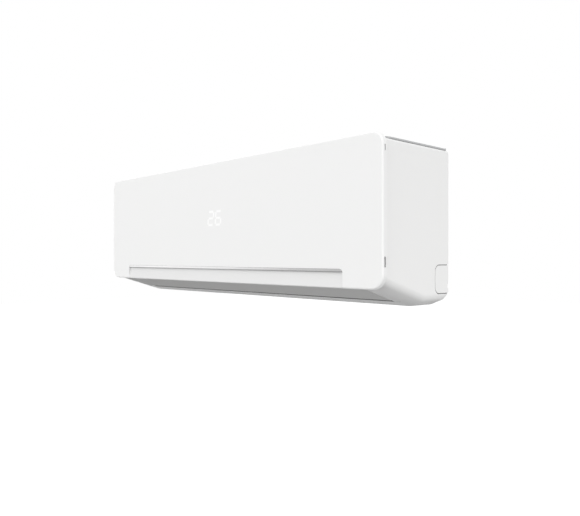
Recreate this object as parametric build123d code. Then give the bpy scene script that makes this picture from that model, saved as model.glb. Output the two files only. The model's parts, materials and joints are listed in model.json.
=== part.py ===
from build123d import *
import math
import os

os.makedirs("parts", exist_ok=True)

# Wall-hung indoor unit of a split air conditioner, in millimetres.
# +X runs along the unit (right as seen from the room), +Y points into the wall,
# +Z is up. The origin is on the wall plane, at the centre of the four fixing
# holes of the wall plate.

# ------------------------------------------------------------ overall sizes
WIDTH = 845.0            # over the front panel
DEPTH = 181.0            # wall to panel face
PANEL_TOP = 134.5        # height of the panel's top edge above the fixing centre
PANEL_HEIGHT = 238.0
BOTTOM = -134.5          # flat underside
CASING_DROP = 9.5        # casing top below the panel top
GRILLE_RISE = 3.5        # inlet grille above the casing top
SIDE_INSET = 3.3         # casing side inboard of the panel edge

# ------------------------------------------------------------ mouldings
WALL = 2.5               # casing and chassis wall
FLANGE = 9.5             # depth of the panel's rim
PANEL_SKIN = 2.5
PANEL_RIM = 2.8
PANEL_CORNER = 18.0
PANEL_EDGE = 3.2         # rounding of the panel's front edge
PANEL_GAP = 0.8          # panel rim to casing front
SEAT_GAP = 0.3           # clearance between fitted mouldings
RUN_GAP = 0.06           # radial clearance of a running fit

# ------------------------------------------------------------ underside
UNDER_ANGLE = math.radians(17.2)
UNDER_RISE = 3.2         # slope plane above the panel's lower edge, at the panel face
LIP_DEPTH = 83.5         # panel face to the rear lip of the outlet
BELLY_DEPTH = 112.0      # panel face to the start of the flat underside
BEVEL_WIDTH = 28.2       # rising facet at each end of the underside
BEVEL_RISE = 11.0
REAR_CORNER = 10.0
END_ROUND = 14.0         # rounding of the side into the end facet
END_STEPS = 4
TOP_SIDE_ROUND = 5.0
TOP_FRONT_ROUND = 5.0

# ------------------------------------------------------------ panel recess and trim
RECESS_LENGTH = 685.0
RECESS_HEIGHT = 31.0
RECESS_DEPTH = 5.5
RECESS_CORNER = 7.0      # rounding of the recess's upper corners
TRIM_HEIGHT = 5.3

# ------------------------------------------------------------ fan and air duct
FAN_RADIUS = 46.0
FAN_TO_WALL = 80.0
FAN_Z = -22.0
FAN_SECTIONS = 5
FAN_BLADES = 24
BLADE_THICK = 1.3
BLADE_WIDTH = 11.0       # radial width of the ring of blades
BLADE_LEAN = 14.0        # degrees
BLADE_BOW = 2.1
DISC_THICK = 2.0
SCROLL_GAP = 10.5        # scroll radius beyond the fan's
SCROLL_SHIFT = 9.0       # scroll axis below the fan's
SCROLL_START = 50.0      # degrees above horizontal where the scroll starts
TONGUE_GAP = 4.6
SHAFT_RADIUS = 4.0
BOX_ZONE = 170.5         # right-hand end kept for motor and controls
FAN_END_GAP = 8.0

# ------------------------------------------------------------ louver and vanes
LOUVER_END_GAP = 13.0    # louver end inboard of the end facet
LOUVER_GAP = 2.8         # louver edge to lip
LOUVER_CHAMFER = 1.3     # lower rear edge, so that it swings past the lip
LOUVER_BULGE = 7.6       # greatest thickness of the louver
LOUVER_SKIN = 2.0
LOUVER_PARTING = 2.4     # height of the joint between skin and cover
PIVOT_FROM_REAR = 18.0
PIVOT_HEIGHT = 17.5
PIVOT_RADIUS = 3.0
VANES_PER_GROUP = 5
VANE_PITCH = 60.0
VANE_THICK = 1.8
VANE_HEIGHT = 37.5
VANE_PIN_RADIUS = 2.2
ROD_PIN_RADIUS = 1.4
ROD_LEVER = 9.0
ROD_THICK = 2.4
STEPPER_RADIUS = 10.0
STEPPER_LENGTH = 15.0

# ------------------------------------------------------------ heat exchanger and filters
FIN_THICK = 22.0
BEND_RADIUS = 3.5
BEND_STRAIGHT = 2.0      # straight stub before the turn
BEND_STEPS = 6
BEND_SIDES = 8
TUBE_PITCH = 21.0
EVAP_TO_WALL_END = 14.5
END_PLATE = 1.5
FILTER_THICK = 3.0

# ------------------------------------------------------------ wall plate
PLATE_THICK = 1.2
PLATE_LENGTH = 560.0
PLATE_TOP = 92.0
PLATE_BOTTOM = -96.0
FIX_SPACING_X = 400.0
FIX_SPACING_Z = 120.0
FIX_HOLE_RADIUS = 2.75

# ------------------------------------------------------------ pipe ends
GAS_PIPE_RADIUS = 4.76
LIQUID_PIPE_RADIUS = 3.18
GAS_UNION_RADIUS = 7.94
LIQUID_UNION_RADIUS = 5.56
GAS_UNION_LENGTH = 15.0
LIQUID_UNION_LENGTH = 13.0
DRAIN_RADIUS = 8.0
DRAIN_LENGTH = 26.0

# ------------------------------------------------------------ derived places
FRONT = -DEPTH
PANEL_BOTTOM = PANEL_TOP - PANEL_HEIGHT
CASING_TOP = PANEL_TOP - CASING_DROP
CASING_FRONT = FRONT + FLANGE + PANEL_GAP
SIDE = WIDTH / 2 - SIDE_INSET
CREASE = SIDE - BEVEL_WIDTH
UNDER_Z = PANEL_BOTTOM + UNDER_RISE
LIP_Y = FRONT + LIP_DEPTH
BELLY_Y = FRONT + BELLY_DEPTH
RECESS_TOP = PANEL_BOTTOM + RECESS_HEIGHT
LOUVER_END = CREASE - LOUVER_END_GAP
DUCT_LEFT = -(LOUVER_END + WALL)
DUCT_RIGHT = WIDTH / 2 - BOX_ZONE
POCKET_RIGHT = LOUVER_END + WALL
FAN_Y = -FAN_TO_WALL
FAN_LEFT = DUCT_LEFT + FAN_END_GAP
FAN_RIGHT = DUCT_RIGHT - FAN_END_GAP
SCROLL_RADIUS = FAN_RADIUS + SCROLL_GAP
SCROLL_Z = FAN_Z - SCROLL_SHIFT


# ------------------------------------------------------------ helpers
def block(x0, x1, y0, y1, z0, z1):
    """Box between two corners."""
    middle = ((x0 + x1) / 2, (y0 + y1) / 2, (z0 + z1) / 2)
    return Pos(*middle) * Box(abs(x1 - x0), abs(y1 - y0), abs(z1 - z0))


def rod_x(x0, x1, y, z, radius):
    """Cylinder along X."""
    return Pos((x0 + x1) / 2, y, z) * Rot(0, 90, 0) * Cylinder(radius, abs(x1 - x0))


def rod_y(x, y0, y1, z, radius):
    """Cylinder along Y."""
    return Pos(x, (y0 + y1) / 2, z) * Rot(90, 0, 0) * Cylinder(radius, abs(y1 - y0))


def section(points, x=0.0):
    """Flat face in a plane of constant X from (y, z) corners."""
    return make_face(Polyline(*[(x, y, z) for y, z in points], close=True))


def prism(points, x0, x1):
    """Straight solid along X with the given (y, z) outline."""
    return extrude(section(points, x0), amount=x1 - x0, dir=(1, 0, 0))


def spread(face, x0, x1):
    """Extrude a face drawn at X = 0 from x0 to x1."""
    return extrude(Pos(x0, 0, 0) * face, amount=x1 - x0, dir=(1, 0, 0))


def save(shape, name):
    export_step(shape, f"parts/{name}.step")


def polar(y, z, radius, degrees):
    """Point on a circle in the YZ plane; 0 degrees is +Y, 90 degrees is +Z."""
    angle = math.radians(degrees)
    return (y + radius * math.cos(angle), z + radius * math.sin(angle))


def under(along, height):
    """Point on the underside slope: distance back along it and height above it."""
    y = FRONT + along * math.cos(UNDER_ANGLE) + height * math.sin(UNDER_ANGLE)
    z = UNDER_Z - along * math.sin(UNDER_ANGLE) + height * math.cos(UNDER_ANGLE)
    return (y, z)


def slope_z(y):
    return UNDER_Z - (y - FRONT) * math.tan(UNDER_ANGLE)


# ------------------------------------------------------------ duct geometry
LIP = (LIP_Y, slope_z(LIP_Y) + WALL / math.cos(UNDER_ANGLE))
LIP_REACH = math.hypot(LIP[0] - FAN_Y, LIP[1] - SCROLL_Z)
LIP_BEARING = math.degrees(math.atan2(LIP[1] - SCROLL_Z, LIP[0] - FAN_Y))
SCROLL_END = LIP_BEARING + math.degrees(math.acos(SCROLL_RADIUS / LIP_REACH))
TANGENT = polar(FAN_Y, SCROLL_Z, SCROLL_RADIUS, SCROLL_END)
FLOOR_LENGTH = math.hypot(LIP[0] - TANGENT[0], LIP[1] - TANGENT[1])
FLOW = ((LIP[0] - TANGENT[0]) / FLOOR_LENGTH, (LIP[1] - TANGENT[1]) / FLOOR_LENGTH)
CROSS = (FLOW[1], -FLOW[0])
TONGUE = polar(FAN_Y, FAN_Z, FAN_RADIUS + TONGUE_GAP, 205)
LOUVER_FRONT = (CASING_FRONT + WALL + 1.0 - FRONT) / math.cos(UNDER_ANGLE)
LOUVER_REAR = LIP_DEPTH / math.cos(UNDER_ANGLE) - LOUVER_GAP
PIVOT = under(LOUVER_REAR - PIVOT_FROM_REAR, PIVOT_HEIGHT)
LOUVER_SWEEP = math.hypot(PIVOT_FROM_REAR, PIVOT_HEIGHT)


def in_duct(flow, cross):
    """Point in the duct: distance downstream of the lip and height off the duct floor."""
    return (
        LIP[0] + flow * FLOW[0] + cross * CROSS[0],
        LIP[1] + flow * FLOW[1] + cross * CROSS[1],
    )


def pin_off_floor(x, flow, start, end, radius):
    """Cylinder standing square to the duct floor."""
    y, z = in_duct(flow, start)
    base = Plane(origin=(x, y, z), z_dir=(0, CROSS[0], CROSS[1]))
    return base * Cylinder(radius, end - start, align=(Align.CENTER, Align.CENTER, Align.MIN))


def post_off_floor(x, flow, start, end, radius):
    """Six-sided post standing square to the duct floor."""
    y, z = in_duct(flow, start)
    base = Plane(origin=(x, y, z), x_dir=(1, 0, 0), z_dir=(0, CROSS[0], CROSS[1]))
    return extrude(base * RegularPolygon(radius, 6), amount=end - start, dir=(0, CROSS[0], CROSS[1]))


# ------------------------------------------------------------ front casing
def casing_face(x, inset, lift, drop, back):
    """Side outline of the casing at one X: inset for the inside, lift and drop for the rounded ends."""
    slant = inset / math.cos(UNDER_ANGLE)
    front = CASING_FRONT + inset
    floor = BOTTOM + inset + lift
    top = CASING_TOP - inset - drop
    round_front = TOP_FRONT_ROUND - inset / 2
    round_rear = REAR_CORNER - inset
    bend = math.sqrt(0.5)
    a = (x, front, slope_z(front) + slant + lift)
    b = (x, LIP_Y, slope_z(LIP_Y) + slant + lift)
    c = (x, BELLY_Y, floor)
    d = (x, back - round_rear, floor)
    e = (x, back, floor + round_rear)
    e_mid = (x, back - round_rear + bend * round_rear, floor + round_rear - bend * round_rear)
    f = (x, back, top)
    g = (x, front + round_front, top)
    h = (x, front, top - round_front)
    h_mid = (x, front + round_front - bend * round_front, top - round_front + bend * round_front)
    edges = [Line(a, b), Line(b, c), Line(c, d), ThreePointArc(d, e_mid, e)]
    edges += [Line(e, f), Line(f, g), ThreePointArc(g, h_mid, h), Line(h, a)]
    return make_face(edges)


def end_stations():
    """X, lift and drop of the outlines that round off one end of the casing."""
    tilt = math.atan2(BEVEL_RISE, BEVEL_WIDTH)
    turn = math.pi / 2 - tilt
    start_x = SIDE - END_ROUND * (1 - math.cos(turn))
    start_lift = (start_x - CREASE) * math.tan(tilt)
    stations = []
    for i in range(END_STEPS + 1):
        angle = turn * (1 - i / END_STEPS)
        x = SIDE - END_ROUND * (1 - math.cos(angle))
        lift = start_lift + END_ROUND * (math.sin(turn) - math.sin(angle))
        beyond = max(0.0, x - (SIDE - TOP_SIDE_ROUND))
        drop = TOP_SIDE_ROUND - math.sqrt(TOP_SIDE_ROUND ** 2 - beyond ** 2)
        stations.append((x, lift, drop))
    return stations


def casing_outside(back):
    """Outer body: a straight middle, a rising facet at each end and a rounded side edge."""
    stations = [(CREASE, 0.0, 0.0)] + end_stations()
    body = loft([casing_face(-CREASE, 0, 0, 0, back), casing_face(CREASE, 0, 0, 0, back)], ruled=True)
    for sign in (-1, 1):
        faces = [casing_face(sign * x, 0, lift, drop, back) for x, lift, drop in stations]
        body += loft(faces, ruled=True)
    return body


def casing_inside(back):
    """Hollow of the casing, one wall inside the outer body."""
    side = SIDE - WALL
    body = loft([casing_face(-CREASE, WALL, 0, 0, back), casing_face(CREASE, WALL, 0, 0, back)], ruled=True)
    for sign in (-1, 1):
        inner = casing_face(sign * CREASE, WALL, 0, 0, back)
        outer = casing_face(sign * side, WALL, BEVEL_RISE + 3.0, 1.5, back)
        body += loft([inner, outer], ruled=True)
    return body


HINGE = (CASING_FRONT + 7.7, CASING_TOP - 8.0)
HINGE_X = 300.0
HINGE_PIN = 2.5
ARM_THICK = 5.0
ARM_SLOT = 8.0
EAR_THICK = 5.0
CATCH_X = 250.0
CATCH_Z = PANEL_BOTTOM + 36.0
WINDOW_HALF = CREASE - 6.0
WINDOW_BOTTOM = -44.0
WINDOW_TOP = CASING_TOP - 17.0
GRILLE_BACK = -3.0
GRILLE_CORNER = 17.0     # front corners, clear of the panel's corners as it swings up
GRILLE_SIDE = SIDE - 2.0
GRILLE_SETBACK = 1.6
INLET_FRONT = CASING_FRONT + 19.0
INLET_BACK = -14.0
INLET_HALF = SIDE - 13.0
KNOCKOUT_FRONT = -40.0
KNOCKOUT_LOW = -114.5
KNOCKOUT_HIGH = -67.0
KNOCKOUT_ROUND = 11.0
KNOCKOUT_GAP = 0.5
SCREW_FROM_SIDE = 89.2
SCREW_X = SIDE - SCREW_FROM_SIDE
CASING_BACK = -1.0       # rear edge of the casing, just off the wall


def knockout_outline(gap):
    """Rounded plate outline at the rear of the side, open to the back edge."""
    front = KNOCKOUT_FRONT - gap
    low = KNOCKOUT_LOW - gap
    high = KNOCKOUT_HIGH + gap
    shape = prism([(front, low), (2.0, low), (2.0, high), (front, high)], 0, 2 * WALL)
    corners = shape.edges().filter_by(Axis.X).group_by(Axis.Y)[0]
    return fillet(corners, KNOCKOUT_ROUND + gap)


def build_front_casing():
    shell = casing_outside(CASING_BACK) - casing_inside(CASING_BACK - WALL)
    # open back above the rounded rear edge, and gaps in that edge for the wall plate's legs
    inner = SIDE - WALL
    shell -= block(
        -inner, inner, CASING_BACK - WALL - 1, CASING_BACK + 1, BOTTOM + REAR_CORNER, CASING_TOP - WALL
    )
    for sign in (-1, 1):
        middle = sign * HOOK_X
        gap = HOOK_WIDTH / 2 + 1.0
        shell -= block(
            middle - gap, middle + gap, CASING_BACK - WALL - 1, CASING_BACK + 1, BOTTOM + WALL + 1,
            BOTTOM + 30
        )
    # windows for the filters and for the inlet air
    shell -= block(-WINDOW_HALF, WINDOW_HALF, CASING_FRONT - 2, CASING_FRONT + 6, WINDOW_BOTTOM, WINDOW_TOP)
    shell -= block(-INLET_HALF, INLET_HALF, INLET_FRONT, INLET_BACK, CASING_TOP - 10, CASING_TOP + 10)
    # outlet: everything between the front lip and the rear lip
    front_lip = CASING_FRONT + WALL
    hole = [
        (front_lip, slope_z(front_lip) - 8), (LIP_Y, slope_z(LIP_Y) - 8),
        (LIP_Y, slope_z(LIP_Y) + 12), (front_lip, slope_z(front_lip) + 12),
    ]
    shell -= prism(hole, -POCKET_RIGHT, POCKET_RIGHT)
    # small notch at the louver's rear left corner
    notch = [
        (LIP_Y - 1, BOTTOM - 1), (BELLY_Y - 6, BOTTOM - 1), (BELLY_Y - 6, BOTTOM + 14),
        (LIP_Y - 1, BOTTOM + 14),
    ]
    shell -= prism(notch, -POCKET_RIGHT, -POCKET_RIGHT + 14.0)
    for sign in (-1, 1):
        # hinge slot, open at the top, with an ear each side of it
        x = sign * HINGE_X
        for ear in (-1, 1):
            near = x + ear * ARM_SLOT / 2
            far = near + ear * EAR_THICK
            shell += block(near, far, CASING_FRONT + 1, HINGE[0] + 6, HINGE[1] - 6, CASING_TOP - 1)
        shell -= rod_x(x - 9.5, x + 9.5, HINGE[0], HINGE[1], HINGE_PIN + RUN_GAP)
        slot = block(
            x - ARM_SLOT / 2, x + ARM_SLOT / 2, CASING_FRONT - 2, HINGE[0] + 7, HINGE[1] - 7, CASING_TOP + 5
        )
        shell -= slot
        # slot for the panel catch
        shell -= block(
            sign * CATCH_X - 8, sign * CATCH_X + 8, CASING_FRONT - 2, CASING_FRONT + 6, CATCH_Z - 4,
            CATCH_Z + 4
        )
    # side opening for the pipes, closed by a plate
    shell -= Pos(SIDE - 1.5 * WALL, 0, 0) * knockout_outline(KNOCKOUT_GAP)
    shell -= block(inner - 6, inner, -14.0, CASING_BACK + 1, KNOCKOUT_LOW - 3, KNOCKOUT_HIGH)
    # screw bosses under the louver line
    for x in (-SCREW_X, 0.0, SCREW_X):
        shell -= rod_y(x, CASING_FRONT - 2, CASING_FRONT + 6, SCREW_Z, SCREW_HOLE)
    # aux button bore
    shell -= rod_y(BUTTON_X, CASING_FRONT - 2, CASING_FRONT + 6, BUTTON_Z, BUTTON_RADIUS + 0.1)
    return shell


SCREW_Z = PANEL_BOTTOM + 12.0
SCREW_HOLE = 2.2
SCREW_HEAD = 4.0
SCREW_POST = 4.0
SCREW_PILOT = 1.8
BUTTON_X = SCREW_X
BUTTON_Z = -58.0
BUTTON_RADIUS = 3.5


def build_top_grille():
    """Grey inlet grille: a rim that sits on the casing and a field of slots."""
    front = CASING_FRONT + GRILLE_SETBACK
    plate = block(-GRILLE_SIDE, GRILLE_SIDE, front, GRILLE_BACK, CASING_TOP, CASING_TOP + GRILLE_RISE)
    plate = fillet(plate.edges().filter_by(Axis.Z).group_by(Axis.Y)[0], GRILLE_CORNER)
    plate = fillet(plate.edges().filter_by(Axis.Z).group_by(Axis.Y)[-1], 3.0)
    collar = block(
        -INLET_HALF + SEAT_GAP, INLET_HALF - SEAT_GAP, INLET_FRONT + SEAT_GAP, INLET_BACK - SEAT_GAP,
        CASING_TOP - WALL - 1.0, CASING_TOP
    )
    inner_collar = block(
        -INLET_HALF + 3, INLET_HALF - 3, INLET_FRONT + 3, INLET_BACK - 3, CASING_TOP - 5, CASING_TOP
    )
    grille = plate + (collar - inner_collar)
    columns = 36
    pitch = 2 * (INLET_HALF - 6) / columns
    slot_width = pitch - 3.6
    rows = 2
    row_pitch = (INLET_BACK - INLET_FRONT - 10) / rows
    slots = []
    for row in range(rows):
        y0 = INLET_FRONT + 5 + row * row_pitch + 2
        for column in range(columns):
            x = -(INLET_HALF - 6) + (column + 0.5) * pitch
            slots.append(
                block(x - slot_width / 2, x + slot_width / 2, y0, y0 + row_pitch - 4,
                      CASING_TOP - 1, CASING_TOP + GRILLE_RISE + 1)
            )
    grille -= slots
    for sign in (-1, 1):
        x = sign * HINGE_X
        grille -= block(
            x - ARM_SLOT / 2, x + ARM_SLOT / 2, front - 1, HINGE[0] + 7, CASING_TOP - 1, CASING_TOP + 6
        )
    return grille


# ------------------------------------------------------------ front panel
def panel_prism(shrink, radius, y0, y1):
    """Rounded rectangle of the panel outline between two depths."""
    middle = PANEL_TOP - PANEL_HEIGHT / 2
    base = Plane(origin=(0, y0, middle), x_dir=(1, 0, 0), z_dir=(0, -1, 0))
    outline = base * RectangleRounded(WIDTH - 2 * shrink, PANEL_HEIGHT - 2 * shrink, radius)
    return extrude(outline, amount=y1 - y0, dir=(0, 1, 0))


def recess_outline(gap):
    """Upright block with the recess's rounded upper corners; gap moves it inwards."""
    outline = RectangleRounded(RECESS_LENGTH - 2 * gap, 2 * RECESS_HEIGHT - 2 * gap, RECESS_CORNER - gap)
    base = Plane(origin=(0, FRONT - 2, PANEL_BOTTOM), x_dir=(1, 0, 0), z_dir=(0, 1, 0))
    return extrude(base * outline, amount=2 + 2 * RECESS_DEPTH, dir=(0, 1, 0))


def build_front_panel():
    panel = panel_prism(0, PANEL_CORNER, FRONT, FRONT + FLANGE)
    panel = fillet(panel.faces().sort_by(Axis.Y)[0].edges(), PANEL_EDGE)
    cavity = panel_prism(PANEL_RIM, PANEL_CORNER - PANEL_RIM, FRONT + PANEL_SKIN, FRONT + FLANGE + 1)
    backing = [
        (FRONT - 1, PANEL_BOTTOM - 1), (FRONT + PANEL_SKIN, PANEL_BOTTOM - 1),
        (FRONT + PANEL_SKIN + RECESS_DEPTH, RECESS_TOP),
        (FRONT + PANEL_SKIN + RECESS_DEPTH, RECESS_TOP + PANEL_SKIN),
        (FRONT - 1, RECESS_TOP + PANEL_SKIN),
    ]
    half = RECESS_LENGTH / 2
    cavity -= prism(backing, -half - PANEL_SKIN, half + PANEL_SKIN)
    panel -= cavity
    scoop = [
        (FRONT - 1, PANEL_BOTTOM - 0.5), (FRONT, PANEL_BOTTOM - 0.5),
        (FRONT + RECESS_DEPTH, RECESS_TOP), (FRONT - 1, RECESS_TOP),
    ]
    panel -= prism(scoop, -half, half) & recess_outline(0)
    for sign in (-1, 1):
        # ledges above and below the display tray, and its side stops
        z = DISPLAY_Z + sign * (DISPLAY_HIGH + 1)
        panel += block(-20, 20, FRONT + PANEL_SKIN - 0.5, DISPLAY_BACK - 1, z - 1, z + 1)
        stop = sign * (DISPLAY_HALF + 1)
        panel += block(
            stop - 1, stop + 1, FRONT + PANEL_SKIN - 0.5, DISPLAY_BACK - 1, DISPLAY_Z - 8, DISPLAY_Z + 8
        )
    for sign in (-1, 1):
        x = sign * HINGE_X
        back = FRONT + PANEL_SKIN - 0.5
        arm = [
            (back, HINGE[1] + 7), (back, HINGE[1] - 8), (HINGE[0], HINGE[1] - 4.5),
            (HINGE[0], HINGE[1] + 4.5),
            (CASING_FRONT - 0.5, HINGE[1] + 7),
        ]
        panel += prism(arm, x - ARM_THICK / 2, x + ARM_THICK / 2)
        panel += rod_x(x - ARM_THICK / 2, x + ARM_THICK / 2, HINGE[0], HINGE[1], 4.5)
        panel += rod_x(x - 8, x + 8, HINGE[0], HINGE[1], HINGE_PIN)
        # catch tongue at the lower edge
        panel += block(
            sign * CATCH_X - 6, sign * CATCH_X + 6, FRONT + PANEL_SKIN - 0.5, CASING_FRONT + 4.5,
            CATCH_Z - 1.5, CATCH_Z + 1.5
        )
        # finger pocket and hinge relief in the rim
        edge = sign * WIDTH / 2
        panel -= block(edge - 4, edge + 4, FRONT + 3.6, FRONT + 7.6, NOTCH_LOW, NOTCH_HIGH)
        panel -= block(edge - 4, edge + 4, FRONT + 4.2, FRONT + 6.6, RELIEF_LOW, RELIEF_HIGH)
    return panel


NOTCH_LOW = -69.5
NOTCH_HIGH = -53.5
RELIEF_LOW = 104.0
RELIEF_HIGH = 113.0


def build_trim_strip():
    half = RECESS_LENGTH / 2 - SEAT_GAP / 2
    low = RECESS_TOP - TRIM_HEIGHT
    floor = FRONT + RECESS_DEPTH
    drop = TRIM_HEIGHT * RECESS_DEPTH / RECESS_HEIGHT
    outline = [
        (FRONT + 0.4, low + 0.8), (FRONT + 1.0, low), (floor - drop - 0.1, low),
        (floor - 0.1, RECESS_TOP - 0.05),
        (FRONT + 0.4, RECESS_TOP - 0.05),
    ]
    return prism(outline, -half, half) & recess_outline(SEAT_GAP / 2)


# ------------------------------------------------------------ display
DISPLAY_Z = PANEL_BOTTOM + 127.0
DISPLAY_HALF = 34.0
DISPLAY_HIGH = 20.0
DISPLAY_BACK = CASING_FRONT - 0.8
DIGIT_PITCH = 23.0


def build_display_housing():
    """Tray on the back of the panel, open towards it."""
    front = FRONT + PANEL_SKIN
    box = block(
        -DISPLAY_HALF, DISPLAY_HALF, front, DISPLAY_BACK, DISPLAY_Z - DISPLAY_HIGH, DISPLAY_Z + DISPLAY_HIGH
    )
    box -= block(
        -DISPLAY_HALF + 2, DISPLAY_HALF - 2, front - 1, DISPLAY_BACK - 1.5, DISPLAY_Z - DISPLAY_HIGH + 2,
        DISPLAY_Z + DISPLAY_HIGH - 2
    )
    return box


def build_display_board():
    """Circuit board with two digit blocks close behind the panel."""
    back = DISPLAY_BACK - 1.5
    board = block(
        -DISPLAY_HALF + 2.5, DISPLAY_HALF - 2.5, back - 1.6, back, DISPLAY_Z - DISPLAY_HIGH + 2.5,
        DISPLAY_Z + DISPLAY_HIGH - 2.5
    )
    for sign in (-1, 1):
        x = sign * DIGIT_PITCH / 2
        board += block(x - 9.5, x + 9.5, FRONT + PANEL_SKIN + 0.4, back - 1, DISPLAY_Z - 15, DISPLAY_Z + 15)
    return board


# ------------------------------------------------------------ chassis
GUTTER_Z = 12.0
BACK_Y = -10.0
MOTOR_LEFT = DUCT_RIGHT + WALL + 4.0
MOTOR_LENGTH = 60.0
MOTOR_RADIUS = 40.0
MOTOR_BOSS = 13.0
BEARING_RADIUS = 11.0
RUBBER_RADIUS = 16.0
HOOK_X = 180.0
HOOK_WIDTH = 40.0
CHASSIS_TOP = 104.0


def scroll_face():
    """Rear wall, drip gutter, scroll and duct floor as one curved strip."""
    gap = WALL
    start_in = polar(FAN_Y, SCROLL_Z, SCROLL_RADIUS, SCROLL_START)
    start_out = polar(FAN_Y, SCROLL_Z, SCROLL_RADIUS + gap, SCROLL_START)
    middle = (SCROLL_START + SCROLL_END) / 2
    mid_in = polar(FAN_Y, SCROLL_Z, SCROLL_RADIUS, middle)
    mid_out = polar(FAN_Y, SCROLL_Z, SCROLL_RADIUS + gap, middle)
    end_in = TANGENT
    end_out = polar(FAN_Y, SCROLL_Z, SCROLL_RADIUS + gap, SCROLL_END)
    lip_out = in_duct(-2.0, -gap)
    lip_in = LIP
    rim_in = (start_in[0], GUTTER_Z + 10)
    rim_out = (start_in[0] + gap, GUTTER_Z + 10)
    edges = [
        Line((0, *rim_in), (0, *start_in)),
        ThreePointArc((0, *start_in), (0, *mid_in), (0, *end_in)),
        Line((0, *end_in), (0, *lip_in)),
        Line((0, *lip_in), (0, *lip_out)),
        Line((0, *lip_out), (0, *end_out)),
        ThreePointArc((0, *end_out), (0, *mid_out), (0, *start_out)),
        Line((0, *start_out), (0, *rim_out)),
        Line((0, *rim_out), (0, *rim_in)),
    ]
    return make_face(edges)


def end_wall_outline(low_front):
    """Side wall of the air duct: fan end and duct, down to the louver's space."""
    rise = 11.0
    back = FAN_Y + SCROLL_RADIUS + WALL
    front = EVAP_FRONT + FIN_THICK + 0.5
    lip_side = in_duct(-LOUVER_SWEEP - 8.0, -WALL / 2)
    if low_front:
        tail = [(LIP[0] + 1.0, LIP[1] + 1.0), under(LOUVER_REAR - 2.0, rise), under(LOUVER_FRONT + 1.0, rise)]
    else:
        top = PIVOT[1] + LOUVER_SWEEP * 0.58
        tail = [
            (lip_side[0], lip_side[1]), (PIVOT[0] + 24.0, top), (PIVOT[0] - 38.0, top),
            under(LOUVER_FRONT + 1.0, 12.0),
        ]
    rim = polar(FAN_Y, SCROLL_Z, SCROLL_RADIUS, SCROLL_START)[0]
    turn = polar(FAN_Y, SCROLL_Z, SCROLL_RADIUS + WALL / 2, SCROLL_END)
    return [(back, GUTTER_Z), (back, SCROLL_Z - 10), turn] + tail + [
        (CASING_FRONT + WALL + 2.0, -90.0), (front, TONGUE[1] - 6.0), (front, GUTTER_Z + 10),
        (rim, GUTTER_Z + 10), (rim, GUTTER_Z),
    ]


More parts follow.
